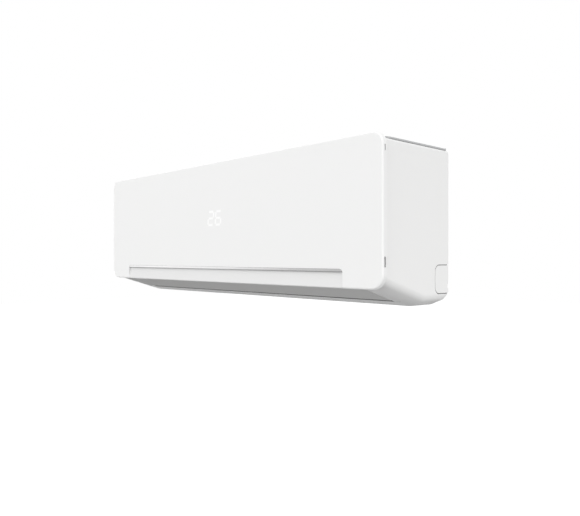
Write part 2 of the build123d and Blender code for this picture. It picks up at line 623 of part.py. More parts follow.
def build_rear_chassis():
    body = spread(scroll_face(), DUCT_LEFT - WALL, DUCT_RIGHT + WALL)
    shelf_z = PIVOT[1] + LOUVER_SWEEP * 0.58
    shelf_flow = (shelf_z - LIP[1]) / FLOW[1]
    shelf_front = PIVOT[0] - 38.0
    shelf_rear = in_duct(shelf_flow, 0)[0] + 1.5
    # closed space above the louver beside the duct: floor, shelf and sloping front
    floor = [LIP, in_duct(shelf_flow - 2, 0), in_duct(shelf_flow - 2, -WALL), in_duct(-2, -WALL)]
    body += prism(floor, DUCT_RIGHT, POCKET_RIGHT + WALL)
    body += block(DUCT_RIGHT, POCKET_RIGHT + WALL, shelf_front, shelf_rear, shelf_z, shelf_z + WALL)
    brow_front = CASING_FRONT + WALL + 2.0
    brow = [
        (brow_front, shelf_z - 9.0), (shelf_front + 0.1, shelf_z), (shelf_front + 0.1, shelf_z + WALL),
        (brow_front, shelf_z - 9.0 + WALL),
    ]
    body += prism(brow, DUCT_RIGHT, POCKET_RIGHT + WALL)
    # flat back with the drip gutter's rear wall
    gutter_front = polar(FAN_Y, SCROLL_Z, SCROLL_RADIUS, SCROLL_START)[0]
    half = SIDE - WALL - SEAT_GAP
    body += block(-half, half, BACK_Y - WALL, BACK_Y, GUTTER_Z - 46, CHASSIS_TOP)
    body += block(DUCT_LEFT - WALL, DUCT_RIGHT + WALL, gutter_front, BACK_Y, GUTTER_Z - WALL, GUTTER_Z)
    # rim round the back, and stiffening ribs between the back and the scroll
    body += block(-half, half, BACK_Y, -1.5, CHASSIS_TOP - WALL, CHASSIS_TOP)
    for sign in (-1, 1):
        body += block(sign * half, sign * (half - WALL), BACK_Y - WALL, -1.5, GUTTER_Z - 46, CHASSIS_TOP)
    for x in (-320.0, -200.0, -60.0, 60.0, 200.0):
        rib = [
            (BACK_Y - WALL + 0.5, GUTTER_Z - WALL), (BACK_Y - WALL + 0.5, GUTTER_Z - 46),
            polar(FAN_Y, SCROLL_Z, SCROLL_RADIUS + 1, -14), polar(FAN_Y, SCROLL_Z, SCROLL_RADIUS + 1, 18),
            (gutter_front + 6, GUTTER_Z - WALL),
        ]
        body += prism(rib, x, x + WALL)
    # end walls of the duct and of the louver's space
    body += prism(end_wall_outline(True), DUCT_LEFT - WALL, DUCT_LEFT)
    right = prism(end_wall_outline(False), DUCT_RIGHT, DUCT_RIGHT + WALL)
    body += right
    end_shape = [
        (LIP[0] + 1.0, LIP[1] + 1.0), under(LOUVER_REAR - 2.0, 11.0), under(LOUVER_FRONT + 1.0, 11.0),
        (brow_front, shelf_z - 8.5), (shelf_front, shelf_z + WALL - 0.5),
        (shelf_rear - 1, shelf_z + WALL - 0.5),
        in_duct(shelf_flow, -WALL / 2),
    ]
    body += prism(end_shape, POCKET_RIGHT, POCKET_RIGHT + WALL)
    # pivot bosses of the louver
    for x in (DUCT_LEFT - WALL, POCKET_RIGHT):
        body += rod_x(x, x + WALL, PIVOT[0], PIVOT[1], 6.5)
        body -= rod_x(x - 1, x + WALL + 1, PIVOT[0], PIVOT[1], PIVOT_RADIUS + RUN_GAP)
    # bearing seat at the left, shaft opening at the right
    body += rod_x(DUCT_LEFT - WALL - 9.0, DUCT_LEFT, FAN_Y, FAN_Z, RUBBER_RADIUS + 3)
    body -= rod_x(DUCT_LEFT - WALL - 7.0, DUCT_LEFT + 2, FAN_Y, FAN_Z, RUBBER_RADIUS)
    body -= rod_x(DUCT_RIGHT - 1, DUCT_RIGHT + WALL + 1, FAN_Y, FAN_Z, 18.0)
    # motor cradle: a saddle either side of the motor's belly
    for x in (MOTOR_LEFT + 6.0, MOTOR_LEFT + MOTOR_LENGTH - 6.0 - 4.0):
        saddle = [
            (BACK_Y - WALL + 0.5, FAN_Z - 2), (BACK_Y - WALL + 0.5, GUTTER_Z - 46), (-60.0, SADDLE_LOW),
            (-104.0, SADDLE_LOW), (FAN_Y - MOTOR_RADIUS - 6, FAN_Z - 30),
            (FAN_Y - MOTOR_RADIUS - 6, FAN_Z - 2),
        ]
        body += prism(saddle, x, x + 4.0) - rod_x(x - 1, x + 5, FAN_Y, FAN_Z, MOTOR_RADIUS + SEAT_GAP)
    body += block(
        MOTOR_LEFT + 4.0, MOTOR_LEFT + MOTOR_LENGTH - 4.0, -104.0, -60.0, SADDLE_LOW - WALL, SADDLE_LOW
    )
    body += block(
        MOTOR_LEFT + 20, MOTOR_LEFT + 24, -98.0, -66.0, shelf_z + WALL - 0.5, SADDLE_LOW - WALL + 0.5
    )
    # bores for the vane pins, in bosses under the duct floor
    for x in vane_places():
        body += post_off_floor(x, VANE_PIVOT, -6.0, -WALL + 0.5, 5.4)
        body -= pin_off_floor(x, VANE_PIVOT, -4.5, 2.0, VANE_PIN_RADIUS + RUN_GAP)
    # post for the right-hand casing screw
    body += rod_y(SCREW_X, CASING_FRONT + WALL + SEAT_GAP, shelf_front + 1, SCREW_Z, SCREW_POST)
    body -= rod_y(SCREW_X, CASING_FRONT, shelf_front - 2, SCREW_Z, SCREW_PILOT)
    # windows for the wall plate's hooks
    for sign in (-1, 1):
        body -= block(
            sign * HOOK_X - HOOK_WIDTH / 2 - 2, sign * HOOK_X + HOOK_WIDTH / 2 + 2, BACK_Y - 6, BACK_Y + 2,
            PLATE_TOP - 30, PLATE_TOP - 10
        )
    return body


SADDLE_LOW = FAN_Z - MOTOR_RADIUS - 4.0
VANE_PIVOT = -44.0
VANE_MIDDLE = (DUCT_LEFT + DUCT_RIGHT) / 2


def vane_group(side):
    """X places of one group of vanes; side is -1 for the left group and 1 for the right."""
    first = VANE_MIDDLE + side * VANE_PITCH / 2
    return [first + side * VANE_PITCH * i for i in range(VANES_PER_GROUP)]


def vane_places():
    return vane_group(-1) + vane_group(1)


# ------------------------------------------------------------ drain pan with the duct's front wall
PAN_LEFT = DUCT_LEFT + SEAT_GAP
PAN_RIGHT = DUCT_RIGHT - SEAT_GAP
PAN_FRONT = CASING_FRONT + WALL + 2.0
PAN_RIM = -36.0
PAN_FLOOR = -51.0
BRACKET_X = VANE_MIDDLE


def duct_front(share, thick):
    """Point on the duct's front wall: share of the way from tongue to foot, and depth into the wall."""
    foot = under(LOUVER_FRONT + 1.5, 5.0)
    length = math.hypot(foot[0] - TONGUE[0], foot[1] - TONGUE[1])
    along = ((foot[0] - TONGUE[0]) / length, (foot[1] - TONGUE[1]) / length)
    point = between(TONGUE, foot, share)
    return (point[0] + along[1] * thick, point[1] - along[0] * thick)


def pan_outline():
    return [
        (PAN_FRONT, PAN_RIM), (PAN_FRONT + WALL, PAN_RIM), (PAN_FRONT + WALL, PAN_FLOOR),
        (TONGUE[0] - 11.0, PAN_FLOOR - 3.5), (TONGUE[0] - 5.5, TONGUE[1] + 0.5),
        (TONGUE[0] - 1.5, TONGUE[1] + 2.0),
        TONGUE, duct_front(1, 0), duct_front(1, WALL * 0.7), duct_front(0.3, WALL),
        (PAN_FRONT, PAN_FLOOR - 3.0),
    ]


def build_drain_pan():
    pan = prism(pan_outline(), PAN_LEFT, PAN_RIGHT)
    trough = [
        (PAN_FRONT, PAN_RIM), (PAN_FRONT, PAN_FLOOR - 3.0), duct_front(0.3, WALL), duct_front(0.12, WALL / 2),
        (TONGUE[0] - 3.5, TONGUE[1] + 0.8), (TONGUE[0] - 3.5, PAN_RIM),
    ]
    pan += prism(trough, PAN_LEFT, PAN_LEFT + WALL)
    pan += prism(trough, PAN_RIGHT - WALL, PAN_RIGHT)
    # middle bearing for the louver, hung from the duct's front wall
    arm = [
        duct_front(0.38, 1.5), duct_front(0.72, 1.5), (PIVOT[0] - 4.5, PIVOT[1] - 3.5),
        (PIVOT[0] + 3.5, PIVOT[1] + 4.5),
    ]
    pan += prism(arm, BRACKET_X - 2.0, BRACKET_X + 2.0)
    pan += rod_x(BRACKET_X - 2.0, BRACKET_X + 2.0, PIVOT[0], PIVOT[1], 6.0)
    pan -= rod_x(BRACKET_X - 3.0, BRACKET_X + 3.0, PIVOT[0], PIVOT[1], PIVOT_RADIUS + RUN_GAP)
    # rests for the fin block, and posts for two casing screws
    for x in (PAN_LEFT + 70.0, BRACKET_X, PAN_RIGHT - 70.0):
        rest = block(x - 1.5, x + 1.5, EVAP_FRONT, TONGUE[0] - 8.0, PAN_FLOOR - 2.0, LOWER_START[1])
        pan += rest
    for x in (-SCREW_X, 0.0):
        pan += rod_y(x, CASING_FRONT + WALL + SEAT_GAP, CASING_FRONT + 16.0, SCREW_Z, SCREW_POST)
        pan -= rod_y(x, CASING_FRONT, CASING_FRONT + 14.0, SCREW_Z, SCREW_PILOT)
    # drain spigot at the right end of the trough
    pan += rod_x(PAN_RIGHT - 1, PAN_RIGHT + DRAIN_LENGTH, DRAIN_Y, DRAIN_Z, DRAIN_RADIUS)
    pan -= rod_x(PAN_RIGHT - 4, PAN_RIGHT + DRAIN_LENGTH + 1, DRAIN_Y, DRAIN_Z, DRAIN_RADIUS - 1.5)
    return pan


def between(a, b, share):
    return (a[0] + (b[0] - a[0]) * share, a[1] + (b[1] - a[1]) * share)


DRAIN_Y = PAN_FRONT + 11.5
DRAIN_Z = PAN_FLOOR + 5.5


# ------------------------------------------------------------ cross-flow fan
def build_fan():
    """Blade ring between discs: forward-curved blades with rounded edges."""
    outer = FAN_RADIUS - 0.6
    inner = outer - BLADE_WIDTH
    length = FAN_RIGHT - FAN_LEFT
    blade = blade_face(inner, outer)
    blades = []
    for i in range(FAN_BLADES):
        turned = Pos(0, FAN_Y, FAN_Z) * Rot(360.0 * i / FAN_BLADES, 0, 0) * blade
        blades.append(extrude(Pos(FAN_LEFT, 0, 0) * turned, amount=length, dir=(1, 0, 0)))
    discs = []
    for i in range(FAN_SECTIONS + 1):
        x = FAN_LEFT + i * (length - DISC_THICK) / FAN_SECTIONS
        ring = rod_x(x, x + DISC_THICK, FAN_Y, FAN_Z, FAN_RADIUS)
        if 0 < i < FAN_SECTIONS:
            ring -= rod_x(x - 1, x + DISC_THICK + 1, FAN_Y, FAN_Z, inner - 3.0)
        discs.append(ring)
    # hub at each end
    discs.append(rod_x(FAN_LEFT, FAN_LEFT + 14, FAN_Y, FAN_Z, 9.0))
    discs.append(rod_x(FAN_RIGHT - 30, FAN_RIGHT, FAN_Y, FAN_Z, 11.0))
    fan = discs[0].fuse(*(discs[1:] + blades))
    fan -= rod_x(FAN_LEFT - 1, FAN_LEFT + 15, FAN_Y, FAN_Z, SHAFT_RADIUS)
    fan -= rod_x(FAN_RIGHT - 31, FAN_RIGHT + 1, FAN_Y, FAN_Z, SHAFT_RADIUS)
    return fan


def blade_face(inner, outer):
    """Bent blade in the YZ plane about the origin, leaning forward at the tip."""
    half = BLADE_THICK / 2
    root = polar(0, 0, inner, -BLADE_LEAN)
    tip = polar(0, 0, outer, BLADE_LEAN * 0.55)
    length = math.hypot(tip[0] - root[0], tip[1] - root[1])
    side = ((root[1] - tip[1]) / length, (tip[0] - root[0]) / length)
    middle = between(root, tip, 0.5)

    def beside(point, distance):
        return (point[0] + side[0] * distance, point[1] + side[1] * distance)

    return section([
        beside(root, half), beside(middle, half - BLADE_BOW), beside(tip, half * 0.6),
        beside(tip, -half * 0.6), beside(middle, -half - BLADE_BOW), beside(root, -half),
    ])


def build_fan_shaft():
    right = rod_x(FAN_RIGHT - 28, MOTOR_LEFT + MOTOR_LENGTH + 8, FAN_Y, FAN_Z, SHAFT_RADIUS)
    left = rod_x(DUCT_LEFT - WALL - 5.0, FAN_LEFT + 12, FAN_Y, FAN_Z, SHAFT_RADIUS)
    return Compound(children=[Solid(right.solids()[0].wrapped), Solid(left.solids()[0].wrapped)])


def build_fan_bearing():
    x0 = DUCT_LEFT - WALL - 5.0
    ring = rod_x(x0, x0 + 8, FAN_Y, FAN_Z, BEARING_RADIUS)
    return ring - rod_x(x0 - 1, x0 + 9, FAN_Y, FAN_Z, SHAFT_RADIUS + RUN_GAP)


def build_bearing_mount():
    x0 = DUCT_LEFT - WALL - 7.0
    cup = rod_x(x0, x0 + 11, FAN_Y, FAN_Z, RUBBER_RADIUS)
    cup -= rod_x(x0 + 2, x0 + 12, FAN_Y, FAN_Z, BEARING_RADIUS)
    return cup


def build_fan_motor():
    """Resin-packed motor: drum with a stepped flange and a bore for the rotor shaft."""
    x0 = MOTOR_LEFT
    x1 = MOTOR_LEFT + MOTOR_LENGTH
    middle = MOTOR_LEFT + MOTOR_LENGTH / 2
    bore = SHAFT_RADIUS + RUN_GAP
    half_outline = [
        (x0, bore), (x0, MOTOR_BOSS), (x0 + 3, MOTOR_BOSS), (x0 + 3, MOTOR_RADIUS - 3),
        (x0 + 6, MOTOR_RADIUS),
        (middle - 2, MOTOR_RADIUS), (middle - 2, MOTOR_RADIUS + 2.5), (middle + 2, MOTOR_RADIUS + 2.5),
        (middle + 2, MOTOR_RADIUS), (x1 - 6, MOTOR_RADIUS), (x1 - 3, MOTOR_RADIUS - 3), (x1 - 3, MOTOR_BOSS),
        (x1, MOTOR_BOSS), (x1, bore),
    ]
    face = make_face(Polyline(*[(x, FAN_Y, FAN_Z + r) for x, r in half_outline], close=True))
    return revolve(face, axis=Axis((0, FAN_Y, FAN_Z), (1, 0, 0)))


def build_motor_clamp():
    """Steel strap over the motor, with a foot each side."""
    x = MOTOR_LEFT + 43.0
    radius = MOTOR_RADIUS + SEAT_GAP
    strap = rod_x(x, x + 12, FAN_Y, FAN_Z, radius + 1.5) - rod_x(x - 1, x + 13, FAN_Y, FAN_Z, radius)
    strap -= block(x - 1, x + 13, FAN_Y - 60, FAN_Y + 60, FAN_Z - 60, FAN_Z - 2.0)
    feet = block(x, x + 12, FAN_Y + radius, FAN_Y + radius + 11, FAN_Z - 2.0, FAN_Z - 0.5)
    feet += block(x, x + 12, FAN_Y - radius - 7, FAN_Y - radius, FAN_Z - 2.0, FAN_Z - 0.5)
    return strap + feet


# ------------------------------------------------------------ louver
LUG_THICK = 4.0


def lens_face(inset, chamfer):
    """Louver section: flat outer face, arched inner face, lower rear edge cut back by the chamfer."""
    a = under(LOUVER_FRONT + inset, inset)
    b = under(LOUVER_REAR - inset - chamfer, inset)
    b_side = under(LOUVER_REAR - inset, inset + chamfer)
    a_top = under(LOUVER_FRONT + inset, LOUVER_PARTING)
    b_top = under(LOUVER_REAR - inset, LOUVER_PARTING)
    crown = under((LOUVER_FRONT + LOUVER_REAR) / 2, LOUVER_BULGE - inset)
    edges = [
        Line((0, *a), (0, *b)), Line((0, *b), (0, *b_side)), Line((0, *b_side), (0, *b_top)),
        ThreePointArc((0, *b_top), (0, *crown), (0, *a_top)), Line((0, *a_top), (0, *a)),
    ]
    return make_face(edges)


def louver_halves():
    """Outer skin and inner cover, parted just above the outer face."""
    full = spread(lens_face(0, LOUVER_CHAMFER), -LOUVER_END, LOUVER_END)
    hollow = spread(lens_face(LOUVER_SKIN - 0.4, 0.3), -LOUVER_END + 2, LOUVER_END - 2)
    shell = full - hollow
    low = prism(
        [under(0, -2), under(LOUVER_REAR + 9, -2), under(LOUVER_REAR + 9, LOUVER_PARTING), under(0, LOUVER_PARTING)],
        -LOUVER_END - 1, LOUVER_END + 1
    )
    return shell & low, shell - low


def lug(x0, x1):
    """Plate from the louver's inner cover up to the pivot."""
    along = LOUVER_REAR - PIVOT_FROM_REAR
    foot = [
        under(along - 9, 5.0), under(along + 7, 5.0), under(along + 4.5, PIVOT_HEIGHT),
        under(along - 4.5, PIVOT_HEIGHT),
    ]
    return prism(foot, x0, x1) + rod_x(x0, x1, PIVOT[0], PIVOT[1], 4.8)


def build_louver_cover(cover):
    left = -LOUVER_END + 0.5
    cover += lug(left, left + LUG_THICK)
    cover += rod_x(DUCT_LEFT - WALL, left, PIVOT[0], PIVOT[1], PIVOT_RADIUS)
    middle = BRACKET_X + 2.5
    cover += lug(middle, middle + LUG_THICK)
    cover += rod_x(BRACKET_X - 2.0, middle, PIVOT[0], PIVOT[1], PIVOT_RADIUS)
    right = LOUVER_END - 0.5 - LUG_THICK
    cover += lug(right, right + LUG_THICK)
    cover -= rod_x(right - 1, right + LUG_THICK + 1, PIVOT[0], PIVOT[1], STEPPER_SHAFT)
    return cover


STEPPER_SHAFT = 2.4
STEPPER_LEFT = POCKET_RIGHT + WALL + 0.3


def build_louver_motor():
    can = rod_x(STEPPER_LEFT, STEPPER_LEFT + STEPPER_LENGTH, PIVOT[0], PIVOT[1], STEPPER_RADIUS)
    ears = block(
        STEPPER_LEFT, STEPPER_LEFT + 1.0, PIVOT[0] - 3.5, PIVOT[0] + 3.5, PIVOT[1],
        PIVOT[1] + STEPPER_RADIUS + 7
    )
    plug = block(
        STEPPER_LEFT + 4, STEPPER_LEFT + 14, PIVOT[0] - 5, PIVOT[0] + 5, PIVOT[1] + STEPPER_RADIUS - 1,
        PIVOT[1] + STEPPER_RADIUS + 4
    )
    return can + ears + plug - rod_x(
        STEPPER_LEFT - 1, STEPPER_LEFT + 8, PIVOT[0], PIVOT[1], STEPPER_SHAFT + RUN_GAP
    )


def build_louver_shaft():
    x0 = LOUVER_END - 0.5 - LUG_THICK
    return rod_x(x0, STEPPER_LEFT + 7, PIVOT[0], PIVOT[1], STEPPER_SHAFT)


# ------------------------------------------------------------ vertical vanes
VANE_REAR = -57.0
VANE_FRONT = -31.5
VANE_TOP_REAR = -39.0
VANE_FOOT = 1.2
ROD_AT = VANE_PIVOT + ROD_LEVER


def build_vane(x):
    """Guide vane: thin blade, pivot pin into the duct floor, drive pin at the top."""
    corners = [
        in_duct(VANE_REAR, VANE_FOOT), in_duct(VANE_FRONT - 3, VANE_FOOT), in_duct(VANE_FRONT, VANE_FOOT + 3),
        in_duct(VANE_FRONT, VANE_HEIGHT), in_duct(VANE_TOP_REAR, VANE_HEIGHT), in_duct(VANE_REAR, 17.0),
    ]
    blade = prism(corners, x - VANE_THICK / 2, x + VANE_THICK / 2)
    vane = blade + post_off_floor(x, VANE_PIVOT, 0.4, VANE_FOOT + 3, 3.6)
    vane += post_off_floor(x, ROD_AT, VANE_HEIGHT - 2, VANE_HEIGHT + 0.4, 2.4)
    vane += pin_off_floor(x, VANE_PIVOT, -4.3, 0.5, VANE_PIN_RADIUS)
    vane += pin_off_floor(x, ROD_AT, VANE_HEIGHT + 0.3, VANE_HEIGHT + 0.4 + ROD_THICK + 0.8, ROD_PIN_RADIUS)
    return vane


def build_vane_rod(places):
    """Link bar with one hole for each vane's drive pin, and a finger tab."""
    low = VANE_HEIGHT + 0.5
    high = low + ROD_THICK
    x0 = min(places) - 8
    x1 = max(places) + 8
    corners = [
        in_duct(ROD_AT - 4, low), in_duct(ROD_AT + 4, low), in_duct(ROD_AT + 4, high),
        in_duct(ROD_AT - 4, high),
    ]
    bar = prism(corners, x0, x1)
    middle = sorted(places)[len(places) // 2] + VANE_PITCH / 2
    tab = [
        in_duct(ROD_AT + 1, low + 1), in_duct(ROD_AT + 4, low + 1), in_duct(ROD_AT + 4, high + 8),
        in_duct(ROD_AT + 1, high + 8),
    ]
    bar += prism(tab, middle - 9, middle + 9)
    for x in places:
        bar -= pin_off_floor(x, ROD_AT, low - 1, high + 1, ROD_PIN_RADIUS + RUN_GAP)
    return bar


# ------------------------------------------------------------ evaporator
EVAP_LEFT = DUCT_LEFT + EVAP_TO_WALL_END
EVAP_RIGHT = DUCT_RIGHT + WALL
EVAP_FRONT = FAN_Y - FAN_RADIUS - 9.0 - FIN_THICK


def slab(y, z, angle, length):
    """Slab outline from its lower outer corner, leaning back by the angle from upright."""
    up = (math.sin(angle), math.cos(angle))
    inward = (math.cos(angle), -math.sin(angle))
    return [
        (y, z), (y + up[0] * length, z + up[1] * length),
        (y + up[0] * length + inward[0] * FIN_THICK, z + up[1] * length + inward[1] * FIN_THICK),
        (y + inward[0] * FIN_THICK, z + inward[1] * FIN_THICK),
    ]


def mirrored_slab(y, z, angle, length):
    """Rear slab, leaning forward."""
    return [(2 * y - a, b) for a, b in slab(y, z, angle, length)]


UPPER_ANGLE = math.radians(40.0)
UPPER_START = (EVAP_FRONT + 2.0, 48.5)
UPPER_LENGTH = 84.0
REAR_ANGLE = math.radians(38.0)
REAR_START = (BACK_Y - WALL - 3.5, 27.0)
REAR_LENGTH = 92.0
LOWER_LENGTH = 66.0
LOWER_START = (EVAP_FRONT, -38.0 + 5.0)
SLABS = {
    "evaporator_front_lower": slab(*LOWER_START, 0.0, LOWER_LENGTH),
    "evaporator_front_upper": slab(*UPPER_START, UPPER_ANGLE, UPPER_LENGTH),
    "evaporator_rear": mirrored_slab(*REAR_START, REAR_ANGLE, REAR_LENGTH),
}


def tube_rows(outline):
    """Centres of the tubes in one slab: two rows along its length."""
    start, end, inner_end, inner_start = outline
    length = math.hypot(end[0] - start[0], end[1] - start[1])
    count = int(length // TUBE_PITCH)
    places = []
    for row in (0.28, 0.72):
        shift = 0.25 if row < 0.5 else -0.25
        for i in range(count):
            share = (i + 0.5 + shift * 0.6) / count
            outer = between(start, end, share)
            inner = between(inner_start, inner_end, share)
            places.append(between(outer, inner, row))
    return places


def build_evaporator_tubes():
    """Return bends that stand out at both end plates, joined in pairs."""
    bends = []
    for outline in SLABS.values():
        places = tube_rows(outline)
        half = len(places) // 2
        for row in (places[:half], places[half:]):
            for i in range(0, len(row) - 1, 2):
                bends.append(return_bend(row[i], row[i + 1], EVAP_LEFT - END_PLATE, -1))
            for i in range(1, len(row) - 1, 2):
                bends.append(return_bend(row[i], row[i + 1], EVAP_RIGHT + END_PLATE, 1))
    return Compound(children=bends)


def return_bend(first, second, x, sign):
    """U-shaped copper tube between two tube ends, in flat steps round its half turn."""
    radius = math.hypot(second[0] - first[0], second[1] - first[1]) / 2
    centre = Vector(x + sign * BEND_STRAIGHT, *between(first, second, 0.5))
    across = Vector(0, second[0] - first[0], second[1] - first[1]).normalized()
    outward = Vector(sign, 0, 0)
    normal = outward.cross(across)
    outlines = [bend_outline(Vector(x, *first), normal, outward)]
    for step in range(BEND_STEPS + 1):
        angle = math.pi * step / BEND_STEPS
        place = centre - across * (radius * math.cos(angle)) + outward * (radius * math.sin(angle))
        travel = outward * math.cos(angle) + across * math.sin(angle)
        outlines.append(bend_outline(place, normal, travel))
    outlines.append(bend_outline(Vector(x, *second), normal, outward * -1))
    return Solid(loft(outlines, ruled=True).solids()[0].wrapped)


def bend_outline(place, normal, travel):
    """Section of a return bend."""
    return Plane(origin=place, x_dir=normal, z_dir=travel) * RegularPolygon(BEND_RADIUS, BEND_SIDES)


def tube(path, start, direction, radius):
    """Twelve-sided solid along a smooth path."""
    profile = Plane(origin=start, z_dir=direction) * RegularPolygon(radius, PIPE_SIDES)
    return Solid(sweep(profile, path=path).solids()[0].wrapped)


EAR_FRONT = -57.0
EAR_BACK = -45.0


def build_end_plates():
    """Steel plates that close the fin blocks and hold them to each other and to the chassis."""
    plates = []
    lower, upper, rear = SLABS.values()
    knee = [between(lower[0], lower[1], 0.8), lower[3], upper[3], between(upper[0], upper[1], 0.3)]
    knee[1] = between(lower[3], lower[2], 0.8)
    peak = [
        between(upper[0], upper[1], 0.9), rear[1], between(rear[3], rear[2], 0.85),
        between(upper[3], upper[2], 0.8),
    ]
    for x0 in (EVAP_LEFT - END_PLATE, EVAP_RIGHT):
        plate = prism(lower, x0, x0 + END_PLATE)
        for outline in (upper, rear, knee, peak):
            plate += prism(outline, x0, x0 + END_PLATE)
        if x0 < 0:
            ear_z = GUTTER_Z + 8.0
            foot = between(rear[3], rear[0], 0.3)
            ear = [
                (EAR_FRONT, ear_z), (EAR_BACK, ear_z), (EAR_BACK, GUTTER_Z + 10.5), (foot[0], foot[1] + 6),
                (foot[0] - 14, foot[1] + 10),
            ]
            plate += prism(ear, x0, x0 + END_PLATE)
            plate += block(DUCT_LEFT, x0 + END_PLATE, EAR_FRONT + 1, EAR_BACK, ear_z, ear_z + END_PLATE)
        plates.append(Solid(plate.solids()[0].wrapped))
    return Compound(children=plates)


# ------------------------------------------------------------ pipes
PIPE_Y = -19.0
GAS_Z = -84.0
LIQUID_Z = -110.0
GAS_DROP = 25.0          # end plate to the upright run of each pipe
LIQUID_DROP = 38.0
GAS_DROP_X = EVAP_RIGHT + END_PLATE + GAS_DROP
LIQUID_DROP_X = EVAP_RIGHT + END_PLATE + LIQUID_DROP
GAS_END = -160.0
LIQUID_END = -90.0
PIPE_BEND = 22.0
PIPE_SIDES = 12
CLAMP_X = 100.0
UNION_STOP = 1.0


def pipe_starts():
    """Tube ends of the rear fin block that the two pipes come out of."""
    places = tube_rows(SLABS["evaporator_rear"])
    half = len(places) // 2
    return places[half], places[0]


def build_pipe(start, drop_x, z, end_x, radius):
    x0 = EVAP_RIGHT + END_PLATE
    points = [(x0, *start), (drop_x, *start), (drop_x, PIPE_Y, z), (end_x + UNION_STOP, PIPE_Y, z)]
    path = FilletPolyline(*points, radius=[PIPE_BEND * 0.6, PIPE_BEND])
    return tube(path, points[0], (1, 0, 0), radius)


def build_union(end_x, z, pipe_radius, union_radius, length):
    """Flare union: hexagon body and the round male end that the line's nut goes on."""
    hexagon = Plane(origin=(end_x, PIPE_Y, z), z_dir=(-1, 0, 0)) * RegularPolygon(union_radius * 1.22, 6)
    body = extrude(hexagon, amount=9.0, dir=(1, 0, 0))
    body += rod_x(end_x - length, end_x, PIPE_Y, z, union_radius)
    body -= rod_x(end_x + UNION_STOP, end_x + 10, PIPE_Y, z, pipe_radius)
    body -= rod_x(end_x - length - 1, end_x + 2, PIPE_Y, z, pipe_radius - 0.9)
    return body


def build_pipe_clamp():
    low = LIQUID_Z - LIQUID_PIPE_RADIUS - 6
    arm = block(CLAMP_X, CLAMP_X + 10, PIPE_Y - 9, PIPE_Y + 8, low, SCROLL_Z - 26)
    arm -= rod_x(CLAMP_X - 1, CLAMP_X + 11, FAN_Y, SCROLL_Z, SCROLL_RADIUS + WALL + 0.2)
    arm -= rod_x(CLAMP_X - 1, CLAMP_X + 11, PIPE_Y, GAS_Z, GAS_PIPE_RADIUS + 0.1)
    arm -= rod_x(CLAMP_X - 1, CLAMP_X + 11, PIPE_Y, LIQUID_Z, LIQUID_PIPE_RADIUS + 0.1)
    return arm


def build_room_sensor():
    """Bulb in a plastic clip on the right end plate."""
    x0 = EVAP_RIGHT + END_PLATE
    y = EVAP_FRONT + 5.0
    z = LOWER_START[1] + 4.0
    clip = block(x0, x0 + 10, y - 4, y + 4, z - 4, z + 4)
    return clip + rod_x(x0 + 9, x0 + 24, y, z, 2.5)


# ------------------------------------------------------------ air filters
FILTER_LOW = PAN_RIM + SEAT_GAP
FILTER_HIGH = CASING_TOP - WALL - 1.0 - 2.5
FILTER_BACK = UPPER_START[0] + math.sin(UPPER_ANGLE) * UPPER_LENGTH + 2.0
FILTER_RIM = 8.0
FILTER_RIB = 4.0
FILTER_GAP = 2.0
FILTER_TURN = 26.0


def filter_outline(outer, inner, low, back):
    """Band that rises behind the front and turns back over the fins; offsets from its outer face."""
    face = CASING_FRONT + WALL + 0.6
    knee_z = FILTER_HIGH - 35.0
    return [
        (face + outer, low), (face + outer, knee_z), (face + FILTER_TURN + outer * 0.3, FILTER_HIGH - outer),
        (back, FILTER_HIGH - outer), (back, FILTER_HIGH - inner),
        (face + FILTER_TURN + inner * 0.3, FILTER_HIGH - inner),
        (face + inner, knee_z - (inner - outer) * 0.3),
        (face + inner, low),
    ]


def filter_spans():
    middle = (EVAP_LEFT + EVAP_RIGHT) / 2
    return {
        "left": (EVAP_LEFT + FILTER_GAP, middle - FILTER_GAP),
        "right": (middle + FILTER_GAP, EVAP_RIGHT - FILTER_GAP),
    }


def build_filter(x0, x1):
    """Frame with two windows, and the mesh that its rim holds."""
    frame = prism(filter_outline(0, FILTER_THICK, FILTER_LOW, FILTER_BACK), x0, x1)
    middle = (x0 + x1) / 2
    opening = filter_outline(-1, FILTER_THICK + 1, FILTER_LOW + FILTER_RIM, FILTER_BACK - FILTER_RIM)
    frame -= prism(opening, x0 + FILTER_RIM, middle - FILTER_RIB / 2)
    frame -= prism(opening, middle + FILTER_RIB / 2, x1 - FILTER_RIM)
    sheet = filter_outline(1.2, 1.7, FILTER_LOW + FILTER_RIM - 2, FILTER_BACK - FILTER_RIM + 2)
    mesh = prism(sheet, x0 + FILTER_RIM - 2, x1 - FILTER_RIM + 2)
    return frame - mesh, mesh


# ------------------------------------------------------------ controls
BOX_LEFT = MOTOR_LEFT + MOTOR_LENGTH + 8.0
BOX_RIGHT = SIDE - WALL - 10.0
BOX_FRONT = CASING_FRONT + WALL + 8.0
BOX_BACK = BOX_FRONT + 45.0
BOX_LOW = -56.0
BOX_HIGH = 96.0
BOX_WALL = 2.0
BOARD_THICK = 1.6


